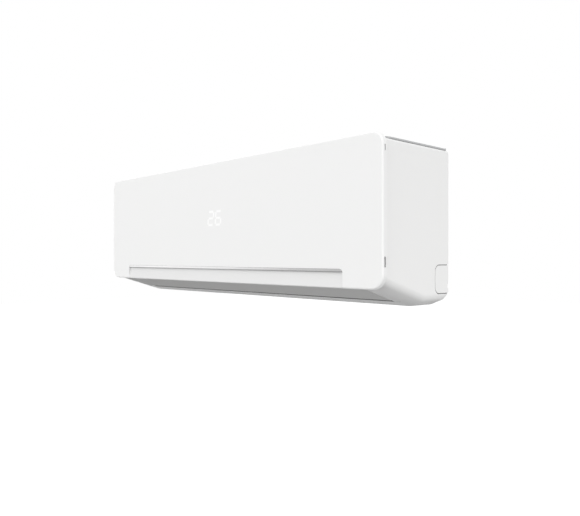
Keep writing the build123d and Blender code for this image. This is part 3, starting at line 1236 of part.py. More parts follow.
def build_control_box():
    """Tray that opens to the front, with standoffs, and brackets back to the chassis."""
    box = block(BOX_LEFT, BOX_RIGHT, BOX_FRONT, BOX_BACK, BOX_LOW, BOX_HIGH)
    box -= block(
        BOX_LEFT + BOX_WALL, BOX_RIGHT - BOX_WALL, BOX_FRONT - 1, BOX_BACK - BOX_WALL, BOX_LOW + BOX_WALL,
        BOX_HIGH - BOX_WALL
    )
    for x in (BOX_LEFT + 10, BOX_RIGHT - 10):
        for z in (BOX_LOW + 44, BOX_HIGH - 10):
            box += rod_y(x, BOX_BACK - BOX_WALL - 8, BOX_BACK - 1, z, 3.0)
    for x in (BOX_LEFT, BOX_RIGHT - BOX_WALL):
        bracket = [
            (BOX_BACK - 1, BOX_HIGH - 10), (BOX_BACK - 1, GUTTER_Z), (BACK_Y - WALL, GUTTER_Z + 10),
            (BACK_Y - WALL, BOX_HIGH - 30)
        ]
        box += prism(bracket, x, x + BOX_WALL)
    box -= rod_x(BOX_LEFT - 1, BOX_LEFT + BOX_WALL + 1, BOX_BACK - 14, BOX_LOW + 20, 6.0)
    return box


def build_control_cover():
    """Front lid with a lip inside the tray and a row of vents."""
    lid = block(BOX_LEFT, BOX_RIGHT, BOX_FRONT - BOX_WALL, BOX_FRONT, BOX_LOW, BOX_HIGH)
    inset = BOX_WALL + SEAT_GAP
    lip = block(
        BOX_LEFT + inset, BOX_RIGHT - inset, BOX_FRONT, BOX_FRONT + 5, BOX_LOW + inset, BOX_HIGH - inset
    )
    lip -= block(
        BOX_LEFT + inset + 1.5, BOX_RIGHT - inset - 1.5, BOX_FRONT, BOX_FRONT + 6, BOX_LOW + inset + 1.5,
        BOX_HIGH - inset - 1.5
    )
    lid += lip
    for i in range(6):
        z = BOX_HIGH - 20 - 7 * i
        lid -= block(BOX_LEFT + 18, BOX_RIGHT - 18, BOX_FRONT - 3, BOX_FRONT + 1, z, z + 3)
    return lid


BOARD_BACK = BOX_BACK - BOX_WALL - 8


def build_main_board():
    return block(
        BOX_LEFT + 5, BOX_RIGHT - 5, BOARD_BACK - BOARD_THICK, BOARD_BACK, BOX_LOW + 38, BOX_HIGH - 5
    )


def build_board_parts():
    """Relay, capacitor, transformer and connector block on the board."""
    face = BOARD_BACK - BOARD_THICK
    parts = [
        block(BOX_LEFT + 12, BOX_LEFT + 32, face - 16, face, 60, 76),
        block(BOX_LEFT + 12, BOX_LEFT + 44, face - 22, face, 8, 34),
        block(BOX_RIGHT - 26, BOX_RIGHT - 10, face - 10, face, 20, 62),
        rod_y(BOX_LEFT + 45, face - 20, face, 66, 8.0),
    ]
    return Compound(children=[Solid(part.solids()[0].wrapped) for part in parts])


def build_terminal_block():
    """Stepped screw terminal strip at the bottom of the tray."""
    back = BOX_BACK - BOX_WALL
    x0 = BOX_LEFT + 8
    x1 = BOX_RIGHT - 8
    strip = block(x0, x1, back - 18, back, BOX_LOW + 8, BOX_LOW + 30)
    strip -= block(x0 - 1, x1 + 1, back - 19, back - 10, BOX_LOW + 7, BOX_LOW + 15)
    pitch = (x1 - x0) / 5
    for i in range(5):
        strip -= rod_y(x0 + pitch * (i + 0.5), back - 19, back - 12, BOX_LOW + 23, 3.2)
    return strip


def build_button():
    """Push button for running the unit without its remote control."""
    stem = rod_y(BUTTON_X, CASING_FRONT - 2.2, CASING_FRONT + WALL + 3.0, BUTTON_Z, BUTTON_RADIUS)
    collar = rod_y(
        BUTTON_X, CASING_FRONT + WALL + 0.1, CASING_FRONT + WALL + 1.3, BUTTON_Z, BUTTON_RADIUS + 1.5
    )
    return stem + collar


# ------------------------------------------------------------ wall plate, pipe cover, screws
HOOK_GAP = 0.2
HOOK_TOP = PLATE_TOP - 10.0


def build_wall_plate():
    """Pressed steel plate with turned edges, hooks at the top and catches at the bottom."""
    half = PLATE_LENGTH / 2
    plate = block(-half, half, -PLATE_THICK, 0, PLATE_BOTTOM, PLATE_TOP)
    plate = fillet(plate.edges().filter_by(Axis.Y), 8.0)
    plate += block(-half + 10, half - 10, -7.0, 0, PLATE_TOP - PLATE_THICK, PLATE_TOP)
    plate += block(-half + 10, half - 10, -7.0, 0, PLATE_BOTTOM, PLATE_BOTTOM + PLATE_THICK)
    for x in (-110.0, 110.0):
        opening = block(x - 70, x + 70, -2, 1, -38, 38)
        plate -= fillet(opening.edges().filter_by(Axis.Y), 10.0)
    for sign_x in (-1, 1):
        for sign_z in (-1, 1):
            plate -= rod_y(sign_x * FIX_SPACING_X / 2, -2, 1, sign_z * FIX_SPACING_Z / 2, FIX_HOLE_RADIUS)
    for sign in (-1, 1):
        x0 = sign * HOOK_X - HOOK_WIDTH / 2
        x1 = sign * HOOK_X + HOOK_WIDTH / 2
        reach = BACK_Y - WALL - 0.5
        top = HOOK_TOP - HOOK_GAP
        plate += block(x0, x1, reach - PLATE_THICK, -PLATE_THICK / 2, top - PLATE_THICK, top)
        plate += block(x0, x1, reach - PLATE_THICK, reach, top - PLATE_THICK, top + 8)
        leg = block(x0, x1, -PLATE_THICK, 0, BOTTOM + WALL + 3, PLATE_BOTTOM + 1)
        catch = block(x0, x1, -4.2, 0, BOTTOM + WALL + 3, BOTTOM + WALL + 3 + PLATE_THICK)
        plate += leg + catch
    return plate


def build_pipe_cover():
    """Side plate over the pipe opening, held by a lip behind the casing wall."""
    cover = Pos(SIDE - WALL, 0, 0) * knockout_outline(0)
    cover -= block(SIDE, SIDE + 5, -60, 10, -140, -40)
    lip = Pos(SIDE - WALL - 1.2, 0, 0) * knockout_outline(2.0)
    lip -= block(SIDE - WALL, SIDE + 10, -60, 10, -140, -40)
    cover += lip
    cover -= block(SIDE - 10, SIDE + 10, -1.0, 10, -140, -40)
    cover -= block(SIDE - WALL - 3, SIDE + 1, -3.5, 0, -106.0, -99.0)
    return cover


def build_casing_screws():
    """Three screws through the casing's front beam."""
    screws = []
    for x in (-SCREW_X, 0.0, SCREW_X):
        head = rod_y(x, CASING_FRONT - 2.4, CASING_FRONT, SCREW_Z, SCREW_HEAD)
        shank = rod_y(x, CASING_FRONT, CASING_FRONT + 12.0, SCREW_Z, SCREW_PILOT - 0.05)
        screws.append(Solid((head + shank).solids()[0].wrapped))
    return Compound(children=screws)


# ------------------------------------------------------------ export
save(build_front_casing(), "front_casing")
save(build_top_grille(), "top_grille")
save(build_front_panel(), "front_panel")
save(build_trim_strip(), "trim_strip")
save(build_display_housing(), "display_housing")
save(build_display_board(), "display_board")
save(build_rear_chassis(), "rear_chassis")
save(build_drain_pan(), "drain_pan")
save(build_fan(), "cross_flow_fan")
save(build_fan_shaft(), "fan_shaft")
save(build_fan_bearing(), "fan_bearing")
save(build_bearing_mount(), "bearing_mount")
save(build_fan_motor(), "fan_motor")
save(build_motor_clamp(), "motor_clamp")
skin, cover = louver_halves()
save(skin, "louver_skin")
save(build_louver_cover(cover), "louver_cover")
save(build_louver_motor(), "louver_motor")
save(build_louver_shaft(), "louver_shaft")
for side, name in ((-1, "left"), (1, "right")):
    places = vane_group(side)
    for number, x in enumerate(places):
        save(build_vane(x), f"vane_{name}_{number + 1}")
    save(build_vane_rod(places), f"vane_rod_{name}")
for name, outline in SLABS.items():
    save(prism(outline, EVAP_LEFT, EVAP_RIGHT), name)
save(build_evaporator_tubes(), "evaporator_bends")
save(build_end_plates(), "evaporator_end_plates")
gas_start, liquid_start = pipe_starts()
save(build_pipe(gas_start, GAS_DROP_X, GAS_Z, GAS_END, GAS_PIPE_RADIUS), "gas_pipe")
save(build_pipe(liquid_start, LIQUID_DROP_X, LIQUID_Z, LIQUID_END, LIQUID_PIPE_RADIUS), "liquid_pipe")
save(build_union(GAS_END, GAS_Z, GAS_PIPE_RADIUS, GAS_UNION_RADIUS, GAS_UNION_LENGTH), "gas_union")
save(
    build_union(LIQUID_END, LIQUID_Z, LIQUID_PIPE_RADIUS, LIQUID_UNION_RADIUS, LIQUID_UNION_LENGTH),
    "liquid_union"
)
save(build_pipe_clamp(), "pipe_clamp")
save(build_room_sensor(), "room_sensor")
for name, (x0, x1) in filter_spans().items():
    frame, mesh = build_filter(x0, x1)
    save(frame, f"filter_frame_{name}")
    save(mesh, f"filter_mesh_{name}")
save(build_control_box(), "control_box")
save(build_control_cover(), "control_box_cover")
save(build_main_board(), "main_board")
save(build_board_parts(), "board_parts")
save(build_terminal_block(), "terminal_block")
save(build_button(), "manual_button")
save(build_wall_plate(), "wall_plate")
save(build_pipe_cover(), "pipe_cover")
save(build_casing_screws(), "casing_screws")
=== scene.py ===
# %% [markdown]
# # A wall-hung air-conditioner indoor unit
#
# The unit hangs on a steel plate, with a flat white front panel that swings up, a louver
# under the outlet, and a fan, heat exchanger and controls inside. The solid model comes in
# as a fixed frame. This lesson gives each piece its finish and its fine detail.

# %% Load the solid model
import bpy
import bmesh
import json
import math
from mathutils import Matrix, Vector


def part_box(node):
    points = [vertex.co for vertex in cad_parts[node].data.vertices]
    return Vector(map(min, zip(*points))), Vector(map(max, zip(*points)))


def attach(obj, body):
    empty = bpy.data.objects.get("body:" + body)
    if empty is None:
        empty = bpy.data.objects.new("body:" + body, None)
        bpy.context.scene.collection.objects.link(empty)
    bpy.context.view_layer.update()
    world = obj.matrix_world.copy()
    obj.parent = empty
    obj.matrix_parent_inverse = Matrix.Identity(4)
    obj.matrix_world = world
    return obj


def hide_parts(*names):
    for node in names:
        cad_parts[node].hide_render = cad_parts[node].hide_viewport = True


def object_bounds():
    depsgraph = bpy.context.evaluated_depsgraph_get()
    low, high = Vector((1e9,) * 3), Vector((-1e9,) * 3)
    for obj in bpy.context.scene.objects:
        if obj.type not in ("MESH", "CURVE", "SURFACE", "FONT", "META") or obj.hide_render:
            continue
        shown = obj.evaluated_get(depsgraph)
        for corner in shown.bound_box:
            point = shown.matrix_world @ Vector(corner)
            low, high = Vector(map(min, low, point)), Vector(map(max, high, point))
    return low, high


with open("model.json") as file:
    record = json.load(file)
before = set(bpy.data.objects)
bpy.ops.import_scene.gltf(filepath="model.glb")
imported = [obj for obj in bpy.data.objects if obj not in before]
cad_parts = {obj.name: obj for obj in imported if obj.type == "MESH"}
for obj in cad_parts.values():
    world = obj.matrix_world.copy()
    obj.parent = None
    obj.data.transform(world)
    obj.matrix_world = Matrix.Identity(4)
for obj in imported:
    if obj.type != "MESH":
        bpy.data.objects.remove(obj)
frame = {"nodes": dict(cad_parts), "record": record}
solids = frame["nodes"]
solid_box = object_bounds()
FACE = solid_box[0].y  # the panel's front face
print("solid model box:", [[round(v, 4) for v in corner] for corner in solid_box])

# %% [markdown]
# ## Camera
#
# The photograph looks at the unit's right front from mid height, level, so upright edges
# stay upright. A long lens would flatten the unit. Here the left end is much smaller than
# the right, so the camera stands close, with a lens a little wider than normal.

# %% Camera
CAMERA_PLACE = (0.9789, -0.8893, -0.0555)
CAMERA_TURN = 46.9  # degrees to the left of straight ahead
LENS = 37.5  # millimetres on a sensor of this width
SENSOR = 36.0
FARTHEST = 60.0


def new_object(name, data):
    thing = bpy.data.objects.new(name, data)
    bpy.context.scene.collection.objects.link(thing)
    return thing


camera_data = bpy.data.cameras.new("camera")
camera_data.lens = LENS
camera_data.sensor_width = SENSOR
camera_data.clip_end = FARTHEST
camera = new_object("camera", camera_data)
camera.location = CAMERA_PLACE
camera.rotation_euler = (math.radians(90), 0, math.radians(CAMERA_TURN))
bpy.context.scene.camera = camera
print("camera at", CAMERA_PLACE, "lens", LENS)

# %% [markdown]
# ## Small helpers for shader nodes
#
# A finish is a little network of nodes. Short helpers keep it readable. One feeds a socket
# with a link or a plain value, one adds a node and feeds it, and two do sums.

# %% Shader helpers
def feed(tree, value, socket):
    if isinstance(value, bpy.types.NodeSocket):
        tree.links.new(value, socket)
    elif socket.type == "RGBA" and len(value) == 3:
        socket.default_value = (*value, 1.0)
    else:
        socket.default_value = value


def add(tree, kind, feeds=None, **settings):
    """A new node with its settings, and with what feeds its sockets."""
    node = tree.nodes.new(kind)
    for name, value in settings.items():
        setattr(node, name, value)
    for label, value in (feeds or {}).items():
        feed(tree, value, node.inputs[label])
    return node


def sum_of(tree, operation, first, second=0.0):
    return add(tree, "ShaderNodeMath", {0: first, 1: second}, operation=operation).outputs[0]


def vector_of(tree, operation, first, second=(0.0, 0.0, 0.0)):
    return add(tree, "ShaderNodeVectorMath", {0: first, 1: second}, operation=operation).outputs[0]


print("node and sum helpers ready")

# %% [markdown]
# Every pattern here is laid out in object coordinates, which are metres on the piece. So a
# scale is a real size, and the pattern rides with the piece when it moves. These helpers
# read the place on the piece, draw noise, stretch a value, and tint or mix a colour.

# %% Pattern helpers
def on_piece(tree):
    return add(tree, "ShaderNodeTexCoord").outputs["Object"]


def axes(tree, place=None):
    """The place on the piece, or another vector, as separate X, Y and Z."""
    place = on_piece(tree) if place is None else place
    return add(tree, "ShaderNodeSeparateXYZ", {0: place}).outputs


def noise(tree, place, scale, detail=2.0, output="Fac"):
    feeds = {"Vector": place, "Scale": scale, "Detail": detail}
    return add(tree, "ShaderNodeTexNoise", feeds).outputs[output]


def spread(tree, value, low, high):
    """Stretch a value between 0 and 1 to the range from low to high."""
    feeds = {"Value": value, "To Min": low, "To Max": high}
    return add(tree, "ShaderNodeMapRange", feeds).outputs["Result"]


def ease(tree, value, start, end, low=0.0, high=1.0):
    """Pass smoothly from low at start to high at end."""
    feeds = {"Value": value, "From Min": start, "From Max": end, "To Min": low, "To Max": high}
    return add(tree, "ShaderNodeMapRange", feeds, interpolation_type="SMOOTHSTEP").outputs["Result"]


def tint(tree, colour, strength):
    feeds = {0: colour, "Scale": strength}
    return add(tree, "ShaderNodeVectorMath", feeds, operation="SCALE").outputs[0]


def mixed(tree, share, first, second):
    """First colour at a share of 0, second at 1, by the colour sockets' numbers."""
    return add(tree, "ShaderNodeMix", {0: share, 6: first, 7: second}, data_type="RGBA").outputs[2]


print("pattern helpers ready")

# %% [markdown]
# What several finishes share is built once, as a node group with named inputs and outputs.
# Each finish then places the group and gives it its own values. An input's kind follows from
# its default value: a number, a whole number, three for a vector, four for a colour.

# %% Effects as node groups
KINDS = {float: "NodeSocketFloat", int: "NodeSocketInt", 3: "NodeSocketVector", 4: "NodeSocketColor"}


def socket_of(tree, way, label, value):
    kind = KINDS[len(value) if isinstance(value, tuple) else type(value)]
    return tree.interface.new_socket(label.replace("_", " "), in_out=way, socket_type=kind)


def new_effect(name, **inputs):
    """A node group with named inputs, whose underscores become spaces."""
    group = bpy.data.node_groups.new(name, "ShaderNodeTree")
    for label, value in inputs.items():
        socket_of(group, "INPUT", label, value).default_value = value
    return group, add(group, "NodeGroupInput").outputs


def end_effect(group, Colour=None, **values):
    """Put out a colour, if there is one, and the other values that the effect makes."""
    results = values if Colour is None else {"Colour": Colour, **values}
    for label in results:
        socket_of(group, "OUTPUT", label, (0.0,) * 4 if label == "Colour" else 0.0)
    add(group, "NodeGroupOutput", results)
    return group


def use_effect(tree, group, **values):
    values = {label.replace("_", " "): value for label, value in values.items()}
    return add(tree, "ShaderNodeGroup", values, node_tree=group).outputs


def input_names(tree):
    return [socket.name for socket in tree.interface.items_tree if socket.in_out == "INPUT"]


print("effect helpers ready")

# %% [markdown]
# ## Floor and light
#
# A product studio is mostly white card. The floor lies well below the unit, so that its
# shadow stays out of the picture. To the camera and in mirrors the floor is white. To light
# that bounces it is darker, which is what lets the underside fall into shade.

# %% Floor
FLOOR_DEPTH = -1.6
FLOOR_HALF = 20.0
FLOOR_BOUNCE = 0.24
FLOOR_SHOWN = 0.85
FLOOR_GLOW = 0.28


def empty_material(name):
    """A material with an empty tree, for the studio."""
    material = bpy.data.materials.new(name)
    material.use_nodes = True
    material.node_tree.nodes.clear()
    return material, material.node_tree


def build_floor_finish():
    material, tree = empty_material("studio floor")
    path = add(tree, "ShaderNodeLightPath").outputs
    seen = sum_of(tree, "MAXIMUM", path["Is Camera Ray"], path["Is Glossy Ray"])
    seen = sum_of(tree, "MAXIMUM", seen, path["Is Transmission Ray"])
    bounce = add(tree, "ShaderNodeBsdfDiffuse", {"Color": (FLOOR_BOUNCE,) * 3}).outputs[0]
    shown = add(tree, "ShaderNodeBsdfDiffuse", {"Color": (FLOOR_SHOWN,) * 3}).outputs[0]
    glow = add(tree, "ShaderNodeEmission", {"Strength": FLOOR_GLOW}).outputs[0]
    white = add(tree, "ShaderNodeAddShader", {0: shown, 1: glow}).outputs[0]
    mix = add(tree, "ShaderNodeMixShader", {0: seen, 1: bounce, 2: white}).outputs[0]
    add(tree, "ShaderNodeOutputMaterial", {"Surface": mix})
    return material


def flat_sheet(name, corners, finish):
    mesh = bpy.data.meshes.new(name)
    mesh.from_pydata(corners, [], [(0, 1, 2, 3)])
    mesh.materials.append(finish)
    sheet = new_object(name, mesh)
    return sheet


CORNERS = ((-1, -1), (1, -1), (1, 1), (-1, 1))
flat_sheet("floor", [(x * FLOOR_HALF, y * FLOOR_HALF, FLOOR_DEPTH) for x, y in CORNERS],
           build_floor_finish())
print("floor at", FLOOR_DEPTH)

# %% [markdown]
# The sky is plain white card on all sides. One broad lamp from the front lifts the panel
# above the side. A soft box low on the right lights the sloping end of the casing from below,
# which is paler in the photograph than the louver beside it. Neither lamp shows in a mirror.

# %% Light
SKY = 1.0
KEY_STRENGTH = 0.424
KEY_HEIGHT = math.radians(5.0)  # above level
KEY_SPREAD = math.radians(40)
LOW_BOX_PLACE = (3.1, -0.35, -0.95)
LOW_BOX_AIM = (0.4, -0.09, -0.05)
LOW_BOX_SIZE = 1.5
LOW_BOX_POWER = 24.9


def build_sky():
    world = bpy.data.worlds.new("studio")
    bpy.context.scene.world = world
    world.use_nodes = True
    background = world.node_tree.nodes["Background"]
    background.inputs["Color"].default_value = (1, 1, 1, 1)
    background.inputs["Strength"].default_value = SKY


def place_lamp(lamp, towards):
    """Turn a lamp so that it shines from the given side."""
    light = new_object(lamp.name, lamp)
    light.rotation_euler = Vector(towards).to_track_quat("Z", "Y").to_euler()
    light.visible_glossy = False
    return light


def build_key():
    lamp = bpy.data.lights.new("key", "SUN")
    lamp.energy = math.pi * KEY_STRENGTH / math.cos(KEY_HEIGHT)
    lamp.angle = KEY_SPREAD
    return place_lamp(lamp, (0.0, -math.cos(KEY_HEIGHT), math.sin(KEY_HEIGHT)))


def build_low_box():
    lamp = bpy.data.lights.new("low soft box", "AREA")
    lamp.size = LOW_BOX_SIZE
    lamp.energy = LOW_BOX_POWER
    box = place_lamp(lamp, Vector(LOW_BOX_PLACE) - Vector(LOW_BOX_AIM))
    box.location = LOW_BOX_PLACE
    box.visible_camera = False


build_sky()
build_low_box()
key = build_key()
bpy.context.scene.view_settings.view_transform = "Standard"
print("key lamp", round(key.data.energy, 3))

# %% [markdown]
# A plated strip shows nothing but the room. In the photograph it is white at its left and
# grey at its right, so a card stands to the left front and fades from white to grey. Only
# mirrors see it. It lights nothing and casts no shadow.

# %% Reflector card
CARD_PLACE = -3.2  # in front of the unit
CARD_LEFT, CARD_RIGHT = -4.6, -0.9
CARD_FADED = -2.3  # grey from here to the right
CARD_HIGH = 1.5
CARD_GREY = 0.55


def build_card_finish():
    material, tree = empty_material("studio card")
    fade = ease(tree, axes(tree)["X"], CARD_LEFT, CARD_FADED, SKY, CARD_GREY)
    glow = add(tree, "ShaderNodeEmission", {"Strength": fade}).outputs[0]
    add(tree, "ShaderNodeOutputMaterial", {"Surface": glow})
    return material


middle, half = (CARD_RIGHT + CARD_LEFT) / 2, (CARD_RIGHT - CARD_LEFT) / 2
card = flat_sheet("reflector card", [(middle + x * half, CARD_PLACE, z * CARD_HIGH) for x, z in CORNERS],
                  build_card_finish())
card.visible_camera = False
card.visible_diffuse = False
card.visible_shadow = False
print("reflector card from", CARD_LEFT, "to", CARD_RIGHT)

# %% [markdown]
# ## Moulded plastic
#
# Most of the unit is injection-moulded. Up close such a skin is never one flat colour. Its
# tone drifts a little where the plastic flowed, its gloss varies, and the mould's spark
# texture leaves a fine grain. One node group holds all three, so that every plastic shares
# it and only its numbers differ.

# %% Moulded skin
FLOW_SCALE = 7.0
GLOSS_SCALE = 31.0


def build_moulded_skin():
    group, given = new_effect("moulded skin", Tone=(0.8, 0.8, 0.8, 1), Drift=0.02, Gloss=0.4,
                              Gloss_Change=0.05, Grain_Scale=1500.0)
    place = on_piece(group)
    low = sum_of(group, "SUBTRACT", 1.0, given["Drift"])
    high = sum_of(group, "ADD", 1.0, given["Drift"])
    flow = spread(group, noise(group, place, FLOW_SCALE, 3.0), low, high)
    low = sum_of(group, "SUBTRACT", given["Gloss"], given["Gloss Change"])
    high = sum_of(group, "ADD", given["Gloss"], given["Gloss Change"])
    gloss = spread(group, noise(group, place, GLOSS_SCALE, 3.0), low, high)
    grain = noise(group, place, given["Grain Scale"], 1.0)
    return end_effect(group, tint(group, given["Tone"], flow), Roughness=gloss, Height=grain)


moulded_skin = build_moulded_skin()
print("moulded skin inputs:", input_names(moulded_skin))

# %% [markdown]
# A plastic is that skin on a Principled shader. The grain reaches the shader as a bump a
# fifth of a millimetre high at most. A spark-eroded skin mirrors less than a polished one, so
# the white shells have a low specular level, set on the shader's own socket.

# %% Plastic material
GRAIN_HIGH = 0.0002


def wire(material, label, value):
    """Feed one socket of a material's shader."""
    feed(material.node_tree, value, material.node_tree.nodes["Principled BSDF"].inputs[label])


def raise_grain(material, height, depth, distance=GRAIN_HIGH):
    feeds = {"Strength": depth, "Distance": distance, "Height": height}
    wire(material, "Normal", add(material.node_tree, "ShaderNodeBump", feeds).outputs["Normal"])


def finish_from(effect, name, depth=0.0, distance=GRAIN_HIGH, metallic=0.0, specular=0.5, **values):
    """A material whose colour, gloss and grain come from an effect, as far as it has them."""
    material = bpy.data.materials.new(name)
    material.use_nodes = True
    wire(material, "Metallic", metallic)
    wire(material, "Specular IOR Level", specular)
    skin = use_effect(material.node_tree, effect, **values)
    for label, target in (("Colour", "Base Color"), ("Roughness", "Roughness")):
        if label in skin:
            wire(material, target, skin[label])
    if depth:
        raise_grain(material, skin["Height"], depth, distance)
    return material


def plastic(name, tone, gloss, drift=0.012, change=0.04, grain=1500.0, depth=0.12, specular=0.5):
    return finish_from(moulded_skin, name, depth, specular=specular, Tone=(*tone, 1.0), Drift=drift,
                       Gloss=gloss, Gloss_Change=change, Grain_Scale=grain)


def shell_white(name):
    return plastic(name, (0.862, 0.862, 0.858), 0.58, drift=0.006, specular=0.12)


finishes = {
    "casing_white": shell_white("casing white"),
    "grille_grey": plastic("grille grey", (0.46, 0.465, 0.47), 0.55, specular=0.3),
    "chassis_white": plastic("chassis white", (0.70, 0.70, 0.69), 0.6, drift=0.02, depth=0.2),
    "duct_grey": plastic("duct grey", (0.075, 0.08, 0.085), 0.6, drift=0.03, depth=0.2, specular=0.3),
    "fan_grey": plastic("fan grey", (0.035, 0.037, 0.04), 0.5, drift=0.05, grain=900.0, depth=0.2),
    "black_rubber": plastic("black rubber", (0.018, 0.018, 0.018), 0.85, drift=0.1, grain=700.0, depth=0.3),
    "motor_resin": plastic("motor resin", (0.03, 0.03, 0.031), 0.7, drift=0.12, grain=420.0, depth=0.5),
    "filter_frame": plastic("filter frame", (0.03, 0.06, 0.14), 0.45, drift=0.03),
    "box_grey": plastic("box grey", (0.12, 0.125, 0.13), 0.62, drift=0.02, depth=0.25),
    "parts_black": plastic("parts black", (0.022, 0.022, 0.025), 0.35, drift=0.06),
    "terminal_white": plastic("terminal ivory", (0.62, 0.58, 0.47), 0.4, drift=0.03),
    "display_black": plastic("display black", (0.018, 0.018, 0.02), 0.3, drift=0.05),
}
# Painted shade: the louver is the same white plastic as the casing, given a darker colour for the shade
# under the unit.
louver_white_painted_shade = plastic("louver white, painted shade", (0.706, 0.706, 0.70), 0.62, drift=0.006, specular=0.02)
print("plastics:", len(finishes) + 1)

# %% [markdown]
# ## The lit number behind the panel
#
# The panel is thin enough for a number lit from behind to glow through it. Each digit is
# drawn with seven bars, and a bar is a box. The letters name the bars as makers of such
# displays do: a is the top one, and the rest follow clockwise, with g in the middle.

# %% Bars of the digits
DIGIT_CENTRE = (0.003, 0.0235)  # X and Z on the panel
DIGIT_PITCH = 0.0245
DIGIT_WIDE, DIGIT_HIGH = 0.0170, 0.0262
BAR = 0.0033  # width of a bar
BAR_SHORT = BAR * 0.62  # a bar ends this far from its digit's corner
SHOWN_NUMBER = "26"
LIT_BARS = {"2": "abged", "6": "afgedc"}


def bar_boxes(number):
    """Centre and half size of each lit bar, as X and Z."""
    wide, high = DIGIT_WIDE / 2, DIGIT_HIGH / 2
    lying, standing = (wide - BAR_SHORT, BAR / 2), (BAR / 2, high / 2 - BAR_SHORT)
    bars = {"a": ((0, high), lying), "g": ((0, 0), lying), "d": ((0, -high), lying),
            "b": ((wide, high / 2), standing), "c": ((wide, -high / 2), standing),
            "f": ((-wide, high / 2), standing), "e": ((-wide, -high / 2), standing)}
    boxes = []
    for i, digit in enumerate(number):
        shift = DIGIT_CENTRE[0] + (i - (len(number) - 1) / 2) * DIGIT_PITCH
        for letter in LIT_BARS[digit]:
            (x, z), size = bars[letter]
            boxes.append(((x + shift, z + DIGIT_CENTRE[1]), size))
    return boxes


print("lit bars:", len(bar_boxes(SHOWN_NUMBER)))

# %% [markdown]
# The distance to the nearest bar, cut off softly, gives a glow with blurred edges, as light
# has after it has spread in plastic. The slant shears the drawing before the distances are
# taken. Only the front face glows, not the panel's back.

# %% Glow of the bars
BAR_SOFT = 0.0018
DIGIT_SLANT = 0.09
SKIN_DEEP = 0.001  # how far in from the face the glow reaches


def build_lit_number():
    group, given = new_effect("lit number", Soft_Edge=BAR_SOFT)
    where = axes(group)
    rise = sum_of(group, "SUBTRACT", where["Z"], DIGIT_CENTRE[1])
    lean = sum_of(group, "MULTIPLY", rise, DIGIT_SLANT)
    upright = add(group, "ShaderNodeCombineXYZ")
    feed(group, sum_of(group, "SUBTRACT", where["X"], lean), upright.inputs["X"])
    feed(group, where["Z"], upright.inputs["Z"])
    nearest = None
    for (x, z), (wide, high) in bar_boxes(SHOWN_NUMBER):
        offset = vector_of(group, "SUBTRACT", upright.outputs[0], (x, 0.0, z))
        beyond = vector_of(group, "SUBTRACT", vector_of(group, "ABSOLUTE", offset), (wide, 0.0, high))
        past = axes(group, beyond)
        distance = sum_of(group, "MAXIMUM", past["X"], past["Z"])
        nearest = distance if nearest is None else sum_of(group, "MINIMUM", nearest, distance)
    inside = sum_of(group, "MULTIPLY", given["Soft Edge"], -0.5)
    soft = ease(group, nearest, inside, given["Soft Edge"], 1.0, 0.0)
    front = sum_of(group, "LESS_THAN", where["Y"], FACE + SKIN_DEEP)
    return end_effect(group, Glow=sum_of(group, "MULTIPLY", soft, front))


lit_number = build_lit_number()
print("lit number effect added")

# %% [markdown]
# The panel is smoother than the shell round it, and a shallow scoop runs along its lower
# edge. In the photograph the scoop is a little darker, more than its shape explains, so a
# painted shade turns its colour down where the surface lies behind the panel's face.

# %% Panel finish
SCOOP_PAINTED_SHADE = 0.885
SCOOP_HIGH = 0.031
SCOOP_HALF = 0.3425
SCOOP_START = 0.0006  # depth at which the full tone is reached
DIGIT_GLOW = 0.105


# Painted shade: this group turns the panel's colour down inside the scoop.
def build_painted_scoop_shade():
    group, given = new_effect("painted scoop shade", Tone_In_Scoop=SCOOP_PAINTED_SHADE)
    where = axes(group)
    across = sum_of(group, "LESS_THAN", sum_of(group, "ABSOLUTE", where["X"]), SCOOP_HALF)
    below = sum_of(group, "LESS_THAN", where["Z"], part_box("front_panel")[0].z + SCOOP_HIGH)
    sunk = ease(group, where["Y"], FACE, FACE + SCOOP_START)
    inside = sum_of(group, "MULTIPLY", sum_of(group, "MULTIPLY", across, below), sunk)
    loss = sum_of(group, "SUBTRACT", 1.0, given["Tone In Scoop"])
    return end_effect(group, Shade=sum_of(group, "SUBTRACT", 1.0, sum_of(group, "MULTIPLY", inside, loss)))


def shade_colour(material, shade):
    """Multiply what already feeds a material's colour by a shade."""
    tree = material.node_tree
    colour = tree.nodes["Principled BSDF"].inputs["Base Color"]
    feed(tree, tint(tree, colour.links[0].from_socket, shade), colour)


def build_panel_white():
    material = plastic("panel white", (0.868, 0.869, 0.866), 0.3, drift=0.004, change=0.02, grain=380.0,
                       depth=0.02, specular=0.35)
    tree = material.node_tree
    glow = use_effect(tree, lit_number)["Glow"]
    wire(material, "Emission Color", tint(tree, (1.0, 1.0, 1.0), glow))
    wire(material, "Emission Strength", DIGIT_GLOW)
    shade_colour(material, use_effect(tree, painted_scoop_shade)["Shade"])
    return material


painted_scoop_shade = build_painted_scoop_shade()
finishes["panel_white"] = build_panel_white()
print("panel finish added")

# %% [markdown]
# ## Metals
#
# Metals differ by how they were worked. Rolled and turned metal carries fine lines one way,
# so its noise is squeezed along one axis. The same group serves a ground shaft, a turned
# union and a pressed fin, with lines that run another way on each.

# %% Worked metal
PATCH_SCALE = 22.0
LINE_HIGH = 0.00005
METAL_SHADE = (0.82, 1.12)  # times the tone
METAL_GLOSS = (0.7, 1.4)  # times the gloss


def build_worked_metal():
    group, given = new_effect("worked metal", Tone=(0.6, 0.6, 0.6, 1), Lines=(10.0, 900.0, 900.0), Gloss=0.3)
    place = on_piece(group)
    lines = noise(group, vector_of(group, "MULTIPLY", place, given["Lines"]), 1.0, 3.0)
    patches = noise(group, place, PATCH_SCALE, 4.0)
    both = sum_of(group, "ADD", *(sum_of(group, "MULTIPLY", part, 0.5) for part in (lines, patches)))
    gloss = [sum_of(group, "MULTIPLY", given["Gloss"], share) for share in METAL_GLOSS]
    return end_effect(group, tint(group, given["Tone"], spread(group, both, *METAL_SHADE)),
                      Roughness=spread(group, both, *gloss), Height=lines)


